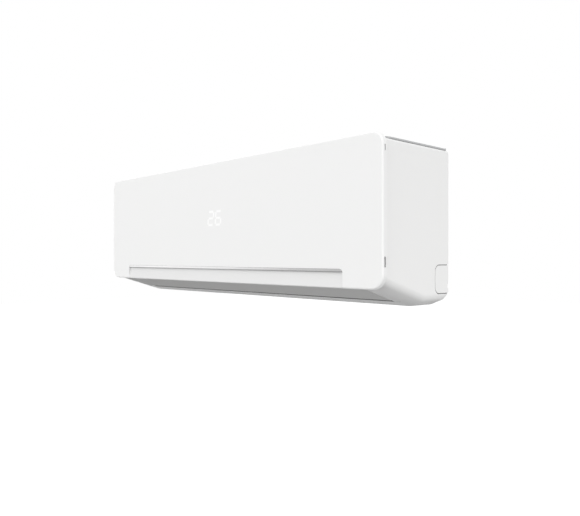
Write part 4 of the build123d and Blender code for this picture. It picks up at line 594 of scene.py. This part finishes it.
def metal(name, tone, gloss, lines=(10.0, 900.0, 900.0), depth=0.08):
    return finish_from(worked_metal, name, depth, LINE_HIGH, 1.0, Tone=(*tone, 1.0), Lines=lines,
                       Gloss=gloss)


worked_metal = build_worked_metal()
finishes["chrome_trim"] = metal("bright plating", (0.93, 0.93, 0.93), 0.07, (4.0, 700.0, 700.0), 0.02)
finishes["steel_shaft"] = metal("ground steel", (0.56, 0.56, 0.55), 0.22, (1500.0, 30.0, 30.0))
finishes["stepper_steel"] = metal("plated can", (0.60, 0.59, 0.55), 0.3, (60.0, 400.0, 400.0))
finishes["screw_steel"] = metal("zinc screws", (0.68, 0.67, 0.62), 0.32, (900.0, 900.0, 900.0), 0.15)
finishes["union_brass"] = metal("turned brass", (0.72, 0.50, 0.20), 0.26, (1800.0, 40.0, 40.0), 0.2)
finishes["bearing_bronze"] = metal("sintered bronze", (0.48, 0.30, 0.15), 0.5, (1400.0,) * 3, 0.4)
finishes["fins"] = metal("coated fins", (0.60, 0.68, 0.76), 0.34, (900.0, 60.0, 500.0), 0.15)
print("finishes so far:", len(finishes))

# %% [markdown]
# Where one piece sits in or beside another, shade falls in the narrow gap between them, and
# here that shade is painted into the colour as a thin dark line that says they are separate.
# One small group paints such a line: it puts out 1 wherever its input is above 0, and a dark
# tone elsewhere. Its first use is the painted shade at the seat of the plated strip. The plate
# over the pipe opening and the lip behind the louver come later.

# %% Painted shade at the seat of the strip
SEAT_LINE = 0.0011  # height of the line along the strip's lowest edge
SEAT_PAINTED_SHADE = 0.30


def build_painted_shade_edge():
    group, given = new_effect("painted shade edge", Beyond=0.0, Dark_Tone=0.3)
    clear = sum_of(group, "GREATER_THAN", given["Beyond"], 0.0)
    return end_effect(group, Shade=spread(group, clear, given["Dark Tone"], 1.0))


def darken(material, beyond, tone):
    """Paint shade into a material: turn its colour down to a tone wherever beyond isn't above 0."""
    shade_colour(material, use_effect(material.node_tree, painted_shade_edge, Beyond=beyond, Dark_Tone=tone)["Shade"])


def above(tree, axis, level):
    """How far the place on the piece lies above a level on one axis."""
    return sum_of(tree, "SUBTRACT", axes(tree)[axis], level)


painted_shade_edge = build_painted_shade_edge()
plating = finishes["chrome_trim"]
# Painted shade: the plating is turned dark along its lowest edge, where the strip meets the scoop.
darken(plating, above(plating.node_tree, "Z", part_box("trim_strip")[0].z + SEAT_LINE), SEAT_PAINTED_SHADE)
print("seat line", SEAT_LINE, "high")

# %% [markdown]
# ## Galvanised sheet
#
# Zinc from a hot bath freezes in flat crystals, each with its own brightness. A Voronoi
# pattern gives the crystals, and a little noise bends their borders, which are never
# straight on real sheet.

# %% Zinc crystals
CRYSTAL_SCALE = 150.0
BEND_SCALE = 60.0
BEND_REACH = 0.006
ZINC = (0.58, 0.60, 0.62)
ZINC_SHADE = (0.86, 1.10)  # times the tone, from crystal to crystal
ZINC_GLOSS = (0.28, 0.52)


def build_zinc_crystals():
    group, given = new_effect("zinc crystals", Crystal_Scale=CRYSTAL_SCALE)
    place = on_piece(group)
    warp = tint(group, noise(group, place, BEND_SCALE, output="Color"), BEND_REACH)
    feeds = {"Vector": vector_of(group, "ADD", place, warp), "Scale": given["Crystal Scale"]}
    cells = add(group, "ShaderNodeTexVoronoi", feeds, feature="F1").outputs
    shade = add(group, "ShaderNodeSeparateColor", {0: cells["Color"]}).outputs
    return end_effect(group, tint(group, ZINC, spread(group, shade[0], *ZINC_SHADE)),
                      Roughness=spread(group, shade[1], *ZINC_GLOSS), Height=cells["Distance"])


zinc_crystals = build_zinc_crystals()
finishes["galvanised"] = finish_from(zinc_crystals, "galvanised sheet", 0.1, metallic=0.9)
print("zinc crystal effect added")

# %% [markdown]
# ## Copper
#
# A new copper tube is bright where it was drawn and brown where hands and heat were on it.
# One noise drives both the brown patches and the loss of gloss there, so the two agree.

# %% Handled copper
HANDLED_SCALE = 48.0
BRIGHT_COPPER = (0.83, 0.42, 0.26)
BROWN_COPPER = (0.33, 0.16, 0.09)
PATCH_RANGE = (-0.6, 1.6)  # below 0 the copper is plainly bright
COPPER_GLOSS = (0.18, 0.5)


def build_handled_copper():
    group, given = new_effect("handled copper", Dulling=0.5)
    patches = noise(group, on_piece(group), HANDLED_SCALE, 5.0)
    dulled = sum_of(group, "MULTIPLY", spread(group, patches, *PATCH_RANGE), given["Dulling"])
    return end_effect(group, mixed(group, dulled, BRIGHT_COPPER, BROWN_COPPER),
                      Roughness=spread(group, patches, *COPPER_GLOSS))


handled_copper = build_handled_copper()
finishes["copper"] = finish_from(handled_copper, "copper tube", metallic=1.0, Dulling=0.45)
print("copper effect added")

# %% [markdown]
# ## Filter net
#
# The net is woven from threads a fraction of a millimetre thick. Modelling each thread would
# cost millions of faces, so the weave is a pattern that also drives how much shows through.
# Along the bend of the net, height and depth add up to the way along its surface.

# %% Woven net
THREADS = 900.0  # in a metre
THREAD = 0.34  # share of the pitch that a thread covers


def build_woven_net():
    group, given = new_effect("woven net", Threads_Per_Metre=THREADS, Thread=THREAD)
    where = axes(group)
    along = sum_of(group, "ADD", where["Z"], where["Y"])
    strands = []
    for way in (where["X"], along):
        cell = sum_of(group, "FRACT", sum_of(group, "MULTIPLY", way, given["Threads Per Metre"]))
        away = sum_of(group, "ABSOLUTE", sum_of(group, "SUBTRACT", cell, 0.5))
        strands.append(sum_of(group, "SUBTRACT", given["Thread"], sum_of(group, "SUBTRACT", 0.5, away)))
    raised = sum_of(group, "MAXIMUM", *strands)
    return end_effect(group, Cover=sum_of(group, "GREATER_THAN", raised, 0.0), Height=raised)


def build_net():
    material = finish_from(moulded_skin, "filter net", Tone=(0.022, 0.022, 0.025, 1), Drift=0.1, Gloss=0.5)
    weave = use_effect(material.node_tree, woven_net)
    wire(material, "Alpha", weave["Cover"])
    raise_grain(material, weave["Height"], 0.4)
    return material


woven_net = build_woven_net()
finishes["filter_mesh"] = build_net()
print("woven net effect added")

# %% [markdown]
# ## Circuit board
#
# The board's copper lanes lie under green lacquer and show as slightly paler, raised lines.
# The borders between Voronoi cells stand for them. They look like lanes at arm's length,
# which is as near as anyone gets, and cost nothing in faces.

# %% Board lanes
LANE_SCALE = 160.0
LANE_HALF = 0.09  # share of a cell
LACQUER = (0.012, 0.075, 0.03)
LACQUER_ON_COPPER = (0.04, 0.16, 0.06)


def build_board_lanes():
    group, given = new_effect("board lanes", Lane_Scale=LANE_SCALE)
    feeds = {"Vector": on_piece(group), "Scale": given["Lane Scale"]}
    cells = add(group, "ShaderNodeTexVoronoi", feeds, feature="DISTANCE_TO_EDGE")
    lane = sum_of(group, "LESS_THAN", cells.outputs["Distance"], LANE_HALF)
    return end_effect(group, mixed(group, lane, LACQUER, LACQUER_ON_COPPER), Height=lane)


def build_board_green():
    material = finish_from(board_lanes, "circuit board", 0.2)
    wire(material, "Roughness", use_effect(material.node_tree, moulded_skin, Gloss=0.3)["Roughness"])
    return material


board_lanes = build_board_lanes()
finishes["board_green"] = build_board_green()
print("finishes:", len(finishes))

# %% [markdown]
# ## Finishes on the solid pieces
#
# Every solid already names its finish, so the new materials go straight into its slots.

# %% Give every solid its finish
for solid in solids.values():
    for place in solid.material_slots:
        place.material = finishes[place.material.name.split(".")[0]]
wanted = {entry["slot"] for entry in frame["record"]["materials"]}
print("slots without a finish:", sorted(wanted - set(finishes)))

# %% [markdown]
# ## Rounding the outer mouldings
#
# A mould never leaves a knife edge. A solid model's edges are perfectly sharp, and such
# edges catch no light. The outer pieces are copied, their loose triangles are joined, and a
# small bevel rounds every sharp edge. Weighted normals keep the big flat faces flat.

# %% Rounded copies
JOIN_WITHIN = 1e-5
FLAT_WITHIN = math.radians(0.5)
SHARP_FROM = math.radians(34)


def bake_modifiers(piece):
    """Turn a piece with modifiers into a plain mesh."""
    shape = piece.evaluated_get(bpy.context.evaluated_depsgraph_get())
    mesh = bpy.data.meshes.new_from_object(shape)
    piece.modifiers.clear()
    piece.data = mesh
    return piece


def joined_copy(node, name):
    mesh = solids[node].data.copy()
    mesh.name = name
    for label in ("custom_normal", "sharp_edge", "sharp_face"):
        if label in mesh.attributes:
            mesh.attributes.remove(mesh.attributes[label])
    shape = bmesh.new()
    shape.from_mesh(mesh)
    bmesh.ops.remove_doubles(shape, verts=shape.verts, dist=JOIN_WITHIN)
    bmesh.ops.dissolve_limit(shape, angle_limit=FLAT_WITHIN, verts=shape.verts, edges=shape.edges)
    shape.to_mesh(mesh)
    shape.free()
    return mesh


def rounded(node, body, name, width, slot_name, finish=None, reshape=None):
    piece = new_object(name, joined_copy(node, name))
    if reshape:
        reshape(piece.data)
    if finish:
        piece.data.materials[0] = finish
    piece.data.shade_smooth()
    bevel = piece.modifiers.new("edge", "BEVEL")
    bevel.width = width
    bevel.segments = 2
    bevel.limit_method = "ANGLE"
    bevel.angle_limit = SHARP_FROM
    bevel.use_clamp_overlap = True
    normals = piece.modifiers.new("flat faces", "WEIGHTED_NORMAL")
    normals.keep_sharp = True
    bake_modifiers(piece)
    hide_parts(node)
    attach(piece, body)
    return piece


print("rounding helper ready")

# %% [markdown]
# Four of these mouldings get a small change of shape on the way, because the photograph
# shows it. The panel's corners are rounder. The plate over the pipe opening has a wider seam
# round it, and the louver a wider joint line behind it. The grille's rim is drafted, so that
# its edge reads as one fine line.

# %% Reshaping four mouldings
CORNER_MADE = 0.018
LOW_CORNER = 0.024
HIGH_CORNER = 0.0208  # ends above the hinge reliefs in the panel's rim
SEAM_EXTRA = 0.0007
COVER_FACE = 0.003  # what lies this near the outer face moves with it
GAP_EXTRA = 0.0016
GAP_REACH = 0.004
UNDER_SLOPE = math.tan(math.radians(17.2))
RIM_DRAFT = 0.0027
RIM_CORNER = 0.0171
TINY = 1e-5


def rounder_corners(mesh):
    """Slide each corner's arc inwards along both edges, to a larger radius."""
    low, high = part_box("front_panel")
    for point in mesh.vertices:
        side = math.copysign(1.0, point.co.x)
        end = 1.0 if point.co.z > 0 else -1.0
        edge_z = high.z if end > 0 else low.z
        seen = HIGH_CORNER if end > 0 else LOW_CORNER
        off = Vector((point.co.x - side * (high.x - CORNER_MADE), point.co.z - (edge_z - end * CORNER_MADE)))
        if off.x * side < -TINY or off.y * end < -TINY or off.length < TINY:
            continue
        off *= (off.length + seen - CORNER_MADE) / off.length
        point.co.x = side * (high.x - seen) + off.x
        point.co.z = edge_z - end * seen + off.y


def wider_seam(mesh):
    """Draw the plate's outer face in from the opening round it."""
    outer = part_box("pipe_cover")[1].x
    face = [point for point in mesh.vertices if point.co.x > outer - COVER_FACE]
    bottom, top = min(p.co.z for p in face), max(p.co.z for p in face)
    front, back = min(p.co.y for p in face), max(p.co.y for p in face)
    middle = (bottom + top) / 2
    for point in face:
        point.co.z = middle + (point.co.z - middle) * (1 - 2 * SEAM_EXTRA / (top - bottom))
        point.co.y = back + (point.co.y - back) * (1 - SEAM_EXTRA / (back - front))


def open_gap(mesh):
    """Pull the louver's rear edge forward along its slope."""
    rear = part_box("louver_skin")[1].y
    for point in mesh.vertices:
        if point.co.y > rear - GAP_REACH:
            point.co.y -= GAP_EXTRA
            point.co.z += GAP_EXTRA * UNDER_SLOPE


def draft_rim(mesh):
    """Bevel the grille's outer top edge and leave its slots alone."""
    low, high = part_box("top_grille")

    def on_rim(point):
        side, front, back = high.x - abs(point.x), point.y - low.y, high.y - point.y
        near_corner = side < RIM_CORNER and front < RIM_CORNER
        return point.z > high.z - TINY and (min(side, front, back) < 10 * TINY or near_corner)

    shape = bmesh.new()
    shape.from_mesh(mesh)
    rim = [edge for edge in shape.edges if all(on_rim(point.co) for point in edge.verts)]
    bmesh.ops.bevel(shape, geom=rim, offset=RIM_DRAFT, segments=3, profile=0.5, affect="EDGES")
    shape.to_mesh(mesh)
    shape.free()


print("reshaping helpers ready")

# %% [markdown]
# Two more lines of painted shade go on these mouldings. Shade falls in the narrow seam round
# the plate, so the seam is painted dark below the plate's outer face. The lip behind the louver
# stays in the louver's shade while it is closed, so the lip's front edge is painted dark between
# the louver's ends.

# %% Painted shade in the seam and on the lip
SEAM_DEEP = 0.0007  # below the outer face, where the dark starts
SEAM_PAINTED_SHADE = 0.10
LIP_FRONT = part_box("louver_skin")[1].y + 0.00197  # about 2 mm behind the louver
LIP_DEEP = 0.0006
LIP_TOP = -0.122
LIP_HALF = 0.392
LIP_PAINTED_SHADE = 0.15


def outside_lip(tree):
    """Above 0 outside the box round the lip's front edge."""
    where = axes(tree)
    past_front = sum_of(tree, "ABSOLUTE", sum_of(tree, "SUBTRACT", where["Y"], LIP_FRONT))
    past_front = sum_of(tree, "SUBTRACT", past_front, LIP_DEEP)
    past_top = sum_of(tree, "SUBTRACT", where["Z"], LIP_TOP)
    past_end = sum_of(tree, "SUBTRACT", sum_of(tree, "ABSOLUTE", where["X"]), LIP_HALF)
    return sum_of(tree, "MAXIMUM", sum_of(tree, "MAXIMUM", past_front, past_top), past_end)


# Painted shade: the casing's white is turned dark along the lip's front edge, and the plate's white in the
# seam below its outer face.
lip_shaded_white = shell_white("shell white, painted lip shade")
darken(lip_shaded_white, outside_lip(lip_shaded_white.node_tree), LIP_PAINTED_SHADE)
seam_shaded_cover_white = shell_white("cover white, painted seam shade")
darken(seam_shaded_cover_white, above(seam_shaded_cover_white.node_tree, "X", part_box("pipe_cover")[1].x - SEAM_DEEP), SEAM_PAINTED_SHADE)
print("dark seam and lip ready")

# %% [markdown]
# Now the outer pieces can be made. Each row gives the solid, the body that it rides on, the
# piece's name, its edge radius, its slot, and a finish or a reshaping of its own.

# %% Outer mouldings
OUTER = (
    ("front_casing", "unit", "casing_moulding", 0.00045, "casing_white", lip_shaded_white, None),
    ("pipe_cover", "unit", "pipe_cover_plate", 0.00045, "casing_white", seam_shaded_cover_white, wider_seam),
    ("front_panel", "panel", "panel_moulding", 0.0003, "panel_white", None, rounder_corners),
    ("louver_skin", "louver", "louver_outer_skin", 0.00035, "casing_white", louver_white_painted_shade, open_gap),
    ("trim_strip", "panel", "plated_strip", 0.00025, "chrome_trim", None, None),
    ("top_grille", "unit", "inlet_grille", 0.00025, "grille_grey", None, draft_rim),
)
for row in OUTER:
    print(row[2], "faces:", len(rounded(*row).data.polygons))

# %% [markdown]
# ## Geometry Nodes: copies along a line and round an axis
#
# Fins, fan blades, slats and screws are one shape over and over. A Geometry Nodes tree makes
# points, puts a copy of the shape on each and turns it. Its sizes are named inputs. The tree
# ends in Realize Instances, because copies that exist only as instances are lost on export.

# %% Tree helpers
def new_tree(name, **inputs):
    """A tree from geometry to geometry, with named inputs for its sizes and one for the finish."""
    tree = bpy.data.node_groups.new(name, "GeometryNodeTree")
    tree.interface.new_socket("Geometry", in_out="INPUT", socket_type="NodeSocketGeometry")
    for label, value in inputs.items():
        socket_of(tree, "INPUT", label, value).default_value = value
    tree.interface.new_socket("Finish", in_out="INPUT", socket_type="NodeSocketMaterial")
    tree.interface.new_socket("Geometry", in_out="OUTPUT", socket_type="NodeSocketGeometry")
    return tree, add(tree, "NodeGroupInput").outputs, add(tree, "NodeGroupOutput").inputs


def turn_about(tree, axis, angle):
    angles = add(tree, "ShaderNodeCombineXYZ", {axis: angle}).outputs[0]
    return add(tree, "FunctionNodeEulerToRotation", {0: angles}).outputs[0]


def end_tree(tree, points, given, result, turns=(0.0, 0.0, 0.0)):
    """Put the shape on each point, make the copies real and give them their finish."""
    feeds = {"Points": points, "Instance": given["Geometry"], "Rotation": turns}
    copies = add(tree, "GeometryNodeInstanceOnPoints", feeds).outputs[0]
    real = add(tree, "GeometryNodeRealizeInstances", {"Geometry": copies}).outputs[0]
    painted = add(tree, "GeometryNodeSetMaterial", {"Geometry": real, "Material": given["Finish"]})
    feed(tree, painted.outputs[0], result[0])


def grow(name, shape, tree, **values):
    """Run a tree on one shape and keep the result as a plain mesh."""
    piece = new_object(name, shape)
    modifier = piece.modifiers.new("copies", "NODES")
    modifier.node_group = tree
    for socket in tree.interface.items_tree:
        label = socket.name.replace(" ", "_")
        if socket.in_out == "INPUT" and label in values:
            modifier[socket.identifier] = values[label]
    return bake_modifiers(piece)


print("tree helpers ready")

# %% [markdown]
# The simplest tree puts copies in a straight row. It serves the fins, the fan's discs, the
# grille's bars and the threads.

# %% Row tree
def row_points(tree, given):
    feeds = {"Count": given["Count"], "Offset": given["Step"]}
    return add(tree, "GeometryNodeMeshLine", feeds).outputs[0]


def build_row_tree():
    tree, given, result = new_tree("row of copies", Count=10, Step=(0.001, 0.0, 0.0))
    end_tree(tree, row_points(tree, given), given, result)
    return tree


row_tree = build_row_tree()
print("row tree inputs:", input_names(row_tree))

# %% [markdown]
# ## Heat exchanger fins
#
# Air passes between hundreds of thin aluminium fins, pressed from foil with wavy edges. One
# fin is drawn from the end outline of its solid block, then copied in a row. The three
# blocks differ only in outline, so one tree serves them all.

# %% Fins
FIN_PITCH = 0.0014
FIN_FOIL = 0.00015
FIN_WAVES = 12
FIN_WAVE = 0.00035
LONG_SIDE = 0.03  # only sides longer than this are wavy


def mesh_of(shape, name):
    mesh = bpy.data.meshes.new(name)
    shape.to_mesh(mesh)
    shape.free()
    return mesh


def end_outline(node):
    """Corners of a straight block's end, in order round it, as Y and Z."""
    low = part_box(node)[0].x
    end = [v.co for v in solids[node].data.vertices if v.co.x < low + TINY]
    corners = {(round(p.y, 6), round(p.z, 6)) for p in end}
    middle = Vector((sum(c[0] for c in corners), sum(c[1] for c in corners))) / len(corners)
    return sorted(corners, key=lambda c: math.atan2(c[1] - middle.y, c[0] - middle.x))


def wavy_outline(corners):
    """The outline with its long sides pressed into shallow waves, kept inside it."""
    middle = sum((Vector(c) for c in corners), Vector((0, 0))) / len(corners)
    points = []
    for i, corner in enumerate(corners):
        start, end = Vector(corner), Vector(corners[(i + 1) % len(corners)])
        points.append(start)
        if (end - start).length < LONG_SIDE:
            continue
        inward = (middle - (start + end) / 2).normalized()
        for step in range(1, FIN_WAVES):
            dip = FIN_WAVE if step % 2 else 0.0
            points.append(start.lerp(end, step / FIN_WAVES) + inward * dip)
    return points


def plate(name, outline, x, thick):
    """Thin plate across X with the given (Y, Z) outline."""
    shape = bmesh.new()
    near = [shape.verts.new((x, y, z)) for y, z in outline]
    far = [shape.verts.new((x + thick, y, z)) for y, z in outline]
    shape.faces.new(near)
    shape.faces.new(far[::-1])
    for i in range(len(outline)):
        j = (i + 1) % len(outline)
        shape.faces.new((near[i], far[i], far[j], near[j]))
    bmesh.ops.recalc_face_normals(shape, faces=shape.faces)
    return mesh_of(shape, name)


for node in ("evaporator_front_lower", "evaporator_front_upper", "evaporator_rear"):
    low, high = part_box(node)
    count = int((high.x - low.x - FIN_FOIL) / FIN_PITCH) + 1
    name = node.replace("evaporator", "fins")
    fin = plate(name, wavy_outline(end_outline(node)), low.x, FIN_FOIL)
    fins = grow(name, fin, row_tree, Count=count, Step=(FIN_PITCH, 0.0, 0.0), Finish=finishes["fins"])
    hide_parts(node)
    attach(fins, "unit")
    print(name, "fins:", count, "faces:", len(fins.data.polygons))

# %% [markdown]
# ## Cross-flow fan
#
# The fan is a long cage of curved blades between thin discs. Discs, hubs, screws and thread
# ridges are all round, so one helper turns a closed profile about the X axis. Another joins
# several meshes into one piece with one finish.

# %% Round shapes and joined meshes
ROUND_STEPS = 48
SAME_POINT = 1e-7  # profile points on the axis fall together


def turned(name, profile, steps=ROUND_STEPS):
    """A closed (X, radius) profile turned about the X axis."""
    shape = bmesh.new()
    rings = []
    for step in range(steps):
        angle = 2 * math.pi * step / steps
        rings.append([shape.verts.new((x, r * math.cos(angle), r * math.sin(angle))) for x, r in profile])
    for step, ring in enumerate(rings):
        after = rings[(step + 1) % steps]
        for i in range(len(profile)):
            j = (i + 1) % len(profile)
            shape.faces.new((ring[i], ring[j], after[j], after[i]))
    bmesh.ops.remove_doubles(shape, verts=shape.verts, dist=SAME_POINT)
    bmesh.ops.recalc_face_normals(shape, faces=shape.faces)
    return mesh_of(shape, name)


def move_onto(mesh, node, shift=0.0):
    """Move a shape turned about X to a node's own axis, from its low end plus a shift."""
    low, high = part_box(node)
    mesh.transform(Matrix.Translation((low.x + shift, (low.y + high.y) / 2, (low.z + high.z) / 2)))


def joined(name, meshes, finish):
    shape = bmesh.new()
    for mesh in meshes:
        shape.from_mesh(mesh)
    for face in shape.faces:
        face.material_index = 0
    mesh = mesh_of(shape, name)
    mesh.materials.append(finish)
    return mesh


print("turning and joining helpers ready")

# %% [markdown]
# Each section of the wheel is turned a little from the one before, so that its blades don't
# all pass the tongue at once and hum. A tree works out each blade's section and turn from its
# number, which keeps the whole wheel to one curved blade and a few sizes.

# %% Wheel tree
def build_wheel_tree():
    """Copies of one blade round the X axis, section after section along it."""
    tree, given, result = new_tree("blades of a wheel", Around=34, Sections=8, Pitch=0.07, Stagger=0.05)
    number = add(tree, "GeometryNodeInputIndex").outputs[0]
    round_trips = sum_of(tree, "DIVIDE", number, given["Around"])
    section = sum_of(tree, "FLOOR", round_trips)
    turn = sum_of(tree, "MULTIPLY", round_trips, 2 * math.pi)
    turn = sum_of(tree, "ADD", turn, sum_of(tree, "MULTIPLY", section, given["Stagger"]))
    feeds = {"X": sum_of(tree, "MULTIPLY", section, given["Pitch"])}
    place = add(tree, "ShaderNodeCombineXYZ", feeds).outputs[0]
    count = sum_of(tree, "MULTIPLY", given["Around"], given["Sections"])
    points = add(tree, "GeometryNodePoints", {"Count": count, "Position": place})
    end_tree(tree, points.outputs[0], given, result, turn_about(tree, "X", turn))
    return tree


wheel_tree = build_wheel_tree()
print("wheel tree inputs:", input_names(wheel_tree))

# %% [markdown]
# The blade is a thin bowed section, thinner towards its tip. The wheel is the blades, the
# discs between the sections, and two end discs with their hubs, which fit the shaft. The
# radius and length come from the solid that the wheel stands for.

# %% Fan wheel
FAN_BLADES = 34
FAN_SECTIONS = 8
FAN_STAGGER = math.radians(2.6)
DISC_THICK = 0.0022
DISC_INSIDE = 0.003  # discs reach this far inside the blades
BLADE_WIDTH = 0.0105
BLADE_THICK = 0.0011
BLADE_TAPER = 0.4
BLADE_BOW = 0.0021
BLADE_LEAN = (-14.0, 7.7)  # degrees at root and tip
BLADE_STEPS = 4
BLADE_INSET = 0.0006  # tips inside the discs' rims
SHAFT = 0.004
HUBS = ((0.009, 0.014), (0.011, 0.030))  # radius and length, left and right


def blade_outline(outer):
    """Curved blade section beside the axis, as (Y, Z) points round it."""
    upper, under = [], []
    for step in range(BLADE_STEPS + 1):
        part = step / BLADE_STEPS
        radius = outer - BLADE_WIDTH * (1 - part)
        lean = math.radians(BLADE_LEAN[0] + (BLADE_LEAN[1] - BLADE_LEAN[0]) * part)
        middle = radius * math.sin(lean) - BLADE_BOW * math.sin(math.pi * part)
        thick = BLADE_THICK / 2 * (1 - BLADE_TAPER * part)
        upper.append((radius * math.cos(lean), middle + thick))
        under.append((radius * math.cos(lean), middle - thick))
    return upper + under[::-1]


def build_fan():
    low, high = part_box("cross_flow_fan")
    radius = (high.z - low.z) / 2
    length = high.x - low.x
    pitch = (length - DISC_THICK) / FAN_SECTIONS
    grey = finishes["fan_grey"]
    blade = plate("blade", blade_outline(radius - BLADE_INSET), DISC_THICK, pitch - DISC_THICK)
    blades = grow("blades", blade, wheel_tree, Around=FAN_BLADES, Sections=FAN_SECTIONS, Pitch=pitch,
                  Stagger=FAN_STAGGER, Finish=grey)
    hollow = radius - BLADE_INSET - BLADE_WIDTH - DISC_INSIDE
    near, far = pitch, pitch + DISC_THICK
    disc = turned("disc", [(near, hollow), (near, radius), (far, radius), (far, hollow)])
    discs = grow("discs", disc, row_tree, Count=FAN_SECTIONS - 1, Step=(pitch, 0.0, 0.0), Finish=grey)
    ends = []
    for (hub, reach), start, way in ((HUBS[0], 0.0, 1), (HUBS[1], length, -1)):
        profile = [(0, SHAFT), (0, radius), (DISC_THICK, radius), (DISC_THICK, hub), (reach, hub),
                   (reach, SHAFT)]
        ends.append(turned("end", [(start + way * x, r) for x, r in profile]))
    mesh = joined("fan_wheel", [blades.data, discs.data, *ends], grey)
    for spare in (blades, discs):
        bpy.data.objects.remove(spare)
    move_onto(mesh, "cross_flow_fan")
    fan = new_object("fan_wheel", mesh)
    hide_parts("cross_flow_fan")
    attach(fan, "fan")
    return fan


fan = build_fan()
print("fan blades:", FAN_BLADES * FAN_SECTIONS, "faces:", len(fan.data.polygons))

# %% [markdown]
# ## Grille bars
#
# Between the grille's strong ribs run thinner bars that keep fingers and dust balls out. Each
# opening gets two in each row, so one group of four bars is copied across the grille.

# %% Grille bars
GRILLE_COLUMNS = 36
GRILLE_RIB = 0.0036
BAR_THICK = 0.0015
BAR_SINK = 0.0003  # bars stay just inside the plate's faces
INLET_EDGE = 0.017  # first rib inboard of the rim's side
INLET_ROWS = (-0.1447, -0.08085)
ROW_LENGTH = 0.05985
PLATE_HIGH = 0.0035


def build_grille_bars():
    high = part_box("top_grille")[1]
    first_rib = high.x - INLET_EDGE
    pitch = 2 * first_rib / GRILLE_COLUMNS
    opening = pitch - GRILLE_RIB
    top, bottom = high.z - BAR_SINK, high.z - PLATE_HIGH + BAR_SINK
    first = GRILLE_RIB / 2 - first_rib
    bars = []
    for front in INLET_ROWS:
        back = front + ROW_LENGTH
        outline = [(front, bottom), (back, bottom), (back, top), (front, top)]
        for third in (1, 2):
            bars.append(plate("bar", outline, first + opening * third / 3 - BAR_THICK / 2, BAR_THICK))
    grey = finishes["grille_grey"]
    piece = grow("grille_bars", joined("bars", bars, grey), row_tree, Count=GRILLE_COLUMNS,
                 Step=(pitch, 0.0, 0.0), Finish=grey)
    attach(piece, "unit")
    return piece


grille_bars = build_grille_bars()
print("grille bars faces:", len(grille_bars.data.polygons))

# %% [markdown]
# ## Screws
#
# Three pan-head screws hold the casing. They are driven in by hand, so their cross slots
# stand at any angle. The tree turns each by a random amount from a fixed seed. The head and
# shank are turned, and a Boolean cuts the cross, because its shape isn't round.

# %% Screws
HEAD_RADIUS = 0.004
HEAD_HIGH = 0.0024
HEAD_CURVE = ((0.0, 0.55), (0.0004, 0.85), (0.0011, 1.0))  # depth and share of the radius
SHANK_RADIUS = 0.00175
POINT_LONG = 0.002
SCREW_STEPS = 24
SLOT_WIDE = 0.0009
SLOT_REACH = 0.0022
SLOT_DEEP = 0.0014
CUT_CLEAR = 0.001  # the cutter starts this far before the head
SCREW_SEED = 7


def build_screw_tree():
    tree, given, result = new_tree("row of driven screws", Count=3, Step=(0.1, 0.0, 0.0), Seed=SCREW_SEED)
    feeds = {3: 2 * math.pi, "Seed": given["Seed"]}  # 3 is the number's highest value
    chance = add(tree, "FunctionNodeRandomValue", feeds, data_type="FLOAT")
    end_tree(tree, row_points(tree, given), given, result, turn_about(tree, "Y", chance.outputs[1]))
    return tree


def build_screw(length):
    """Pan-head screw along Y, its head's face at the origin looking forward."""
    profile = [(0.0, 0.0), *((deep, HEAD_RADIUS * share) for deep, share in HEAD_CURVE),
               (HEAD_HIGH, HEAD_RADIUS), (HEAD_HIGH, SHANK_RADIUS),
               (length - POINT_LONG, SHANK_RADIUS), (length, 0.0)]
    body = new_object("screw", turned("screw", profile, SCREW_STEPS))
    w, r = SLOT_WIDE / 2, SLOT_REACH
    cross = [(w, w), (w, r), (-w, r), (-w, w), (-r, w), (-r, -w),
             (-w, -w), (-w, -r), (w, -r), (w, -w), (r, -w), (r, w)]
    cutter = new_object("cutter", plate("cutter", cross, -CUT_CLEAR, CUT_CLEAR + SLOT_DEEP))
    cut = body.modifiers.new("cross", "BOOLEAN")
    cut.object = cutter
    cut.solver = "EXACT"
    mesh = bake_modifiers(body).data
    mesh.transform(Matrix.Rotation(math.radians(90), 4, "Z"))
    for spare in (body, cutter):
        bpy.data.objects.remove(spare)
    return mesh


def build_casing_screws():
    low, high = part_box("casing_screws")
    step = (high.x - low.x - 2 * HEAD_RADIUS) / 2
    screws = grow("pan_head_screws", build_screw(high.y - low.y), screw_tree, Count=3,
                  Step=(step, 0.0, 0.0), Seed=SCREW_SEED, Finish=finishes["screw_steel"])
    screws.data.transform(Matrix.Translation((-step, low.y, (low.z + high.z) / 2)))
    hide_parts("casing_screws")
    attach(screws, "unit")
    return screws


screw_tree = build_screw_tree()
screws = build_casing_screws()
print("screws faces:", len(screws.data.polygons))

# %% [markdown]
# ## Union threads
#
# The two pipe unions are threaded for their nuts. A thread here is one turned ridge copied in
# a row. A real thread is a helix, but at this pitch nobody can tell, and rings stay closed
# shapes. The ridges' roots sink a little into the union.

# %% Union threads
THREAD_PITCH = 0.0013
THREAD_HIGH = 0.0004
THREAD_SINK = 0.0001
THREAD_START = 0.0005  # from the union's end
THREAD_RUNOUT = 0.002
UNIONS = (("gas_union", 0.00794, 0.015), ("liquid_union", 0.00556, 0.013))  # radius and threaded length

for node, radius, length in UNIONS:
    root, crest = radius - THREAD_SINK, radius + THREAD_HIGH
    ridge = turned("ridge", [(0.0, root), (THREAD_PITCH / 2, crest), (THREAD_PITCH, root)])
    count = int((length - THREAD_RUNOUT) / THREAD_PITCH)
    thread = grow(node + "_thread", ridge, row_tree, Count=count, Step=(THREAD_PITCH, 0.0, 0.0),
                  Finish=finishes["union_brass"])
    move_onto(thread.data, node, THREAD_START)
    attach(thread, "unit")
    print(thread.name, "ridges:", count)
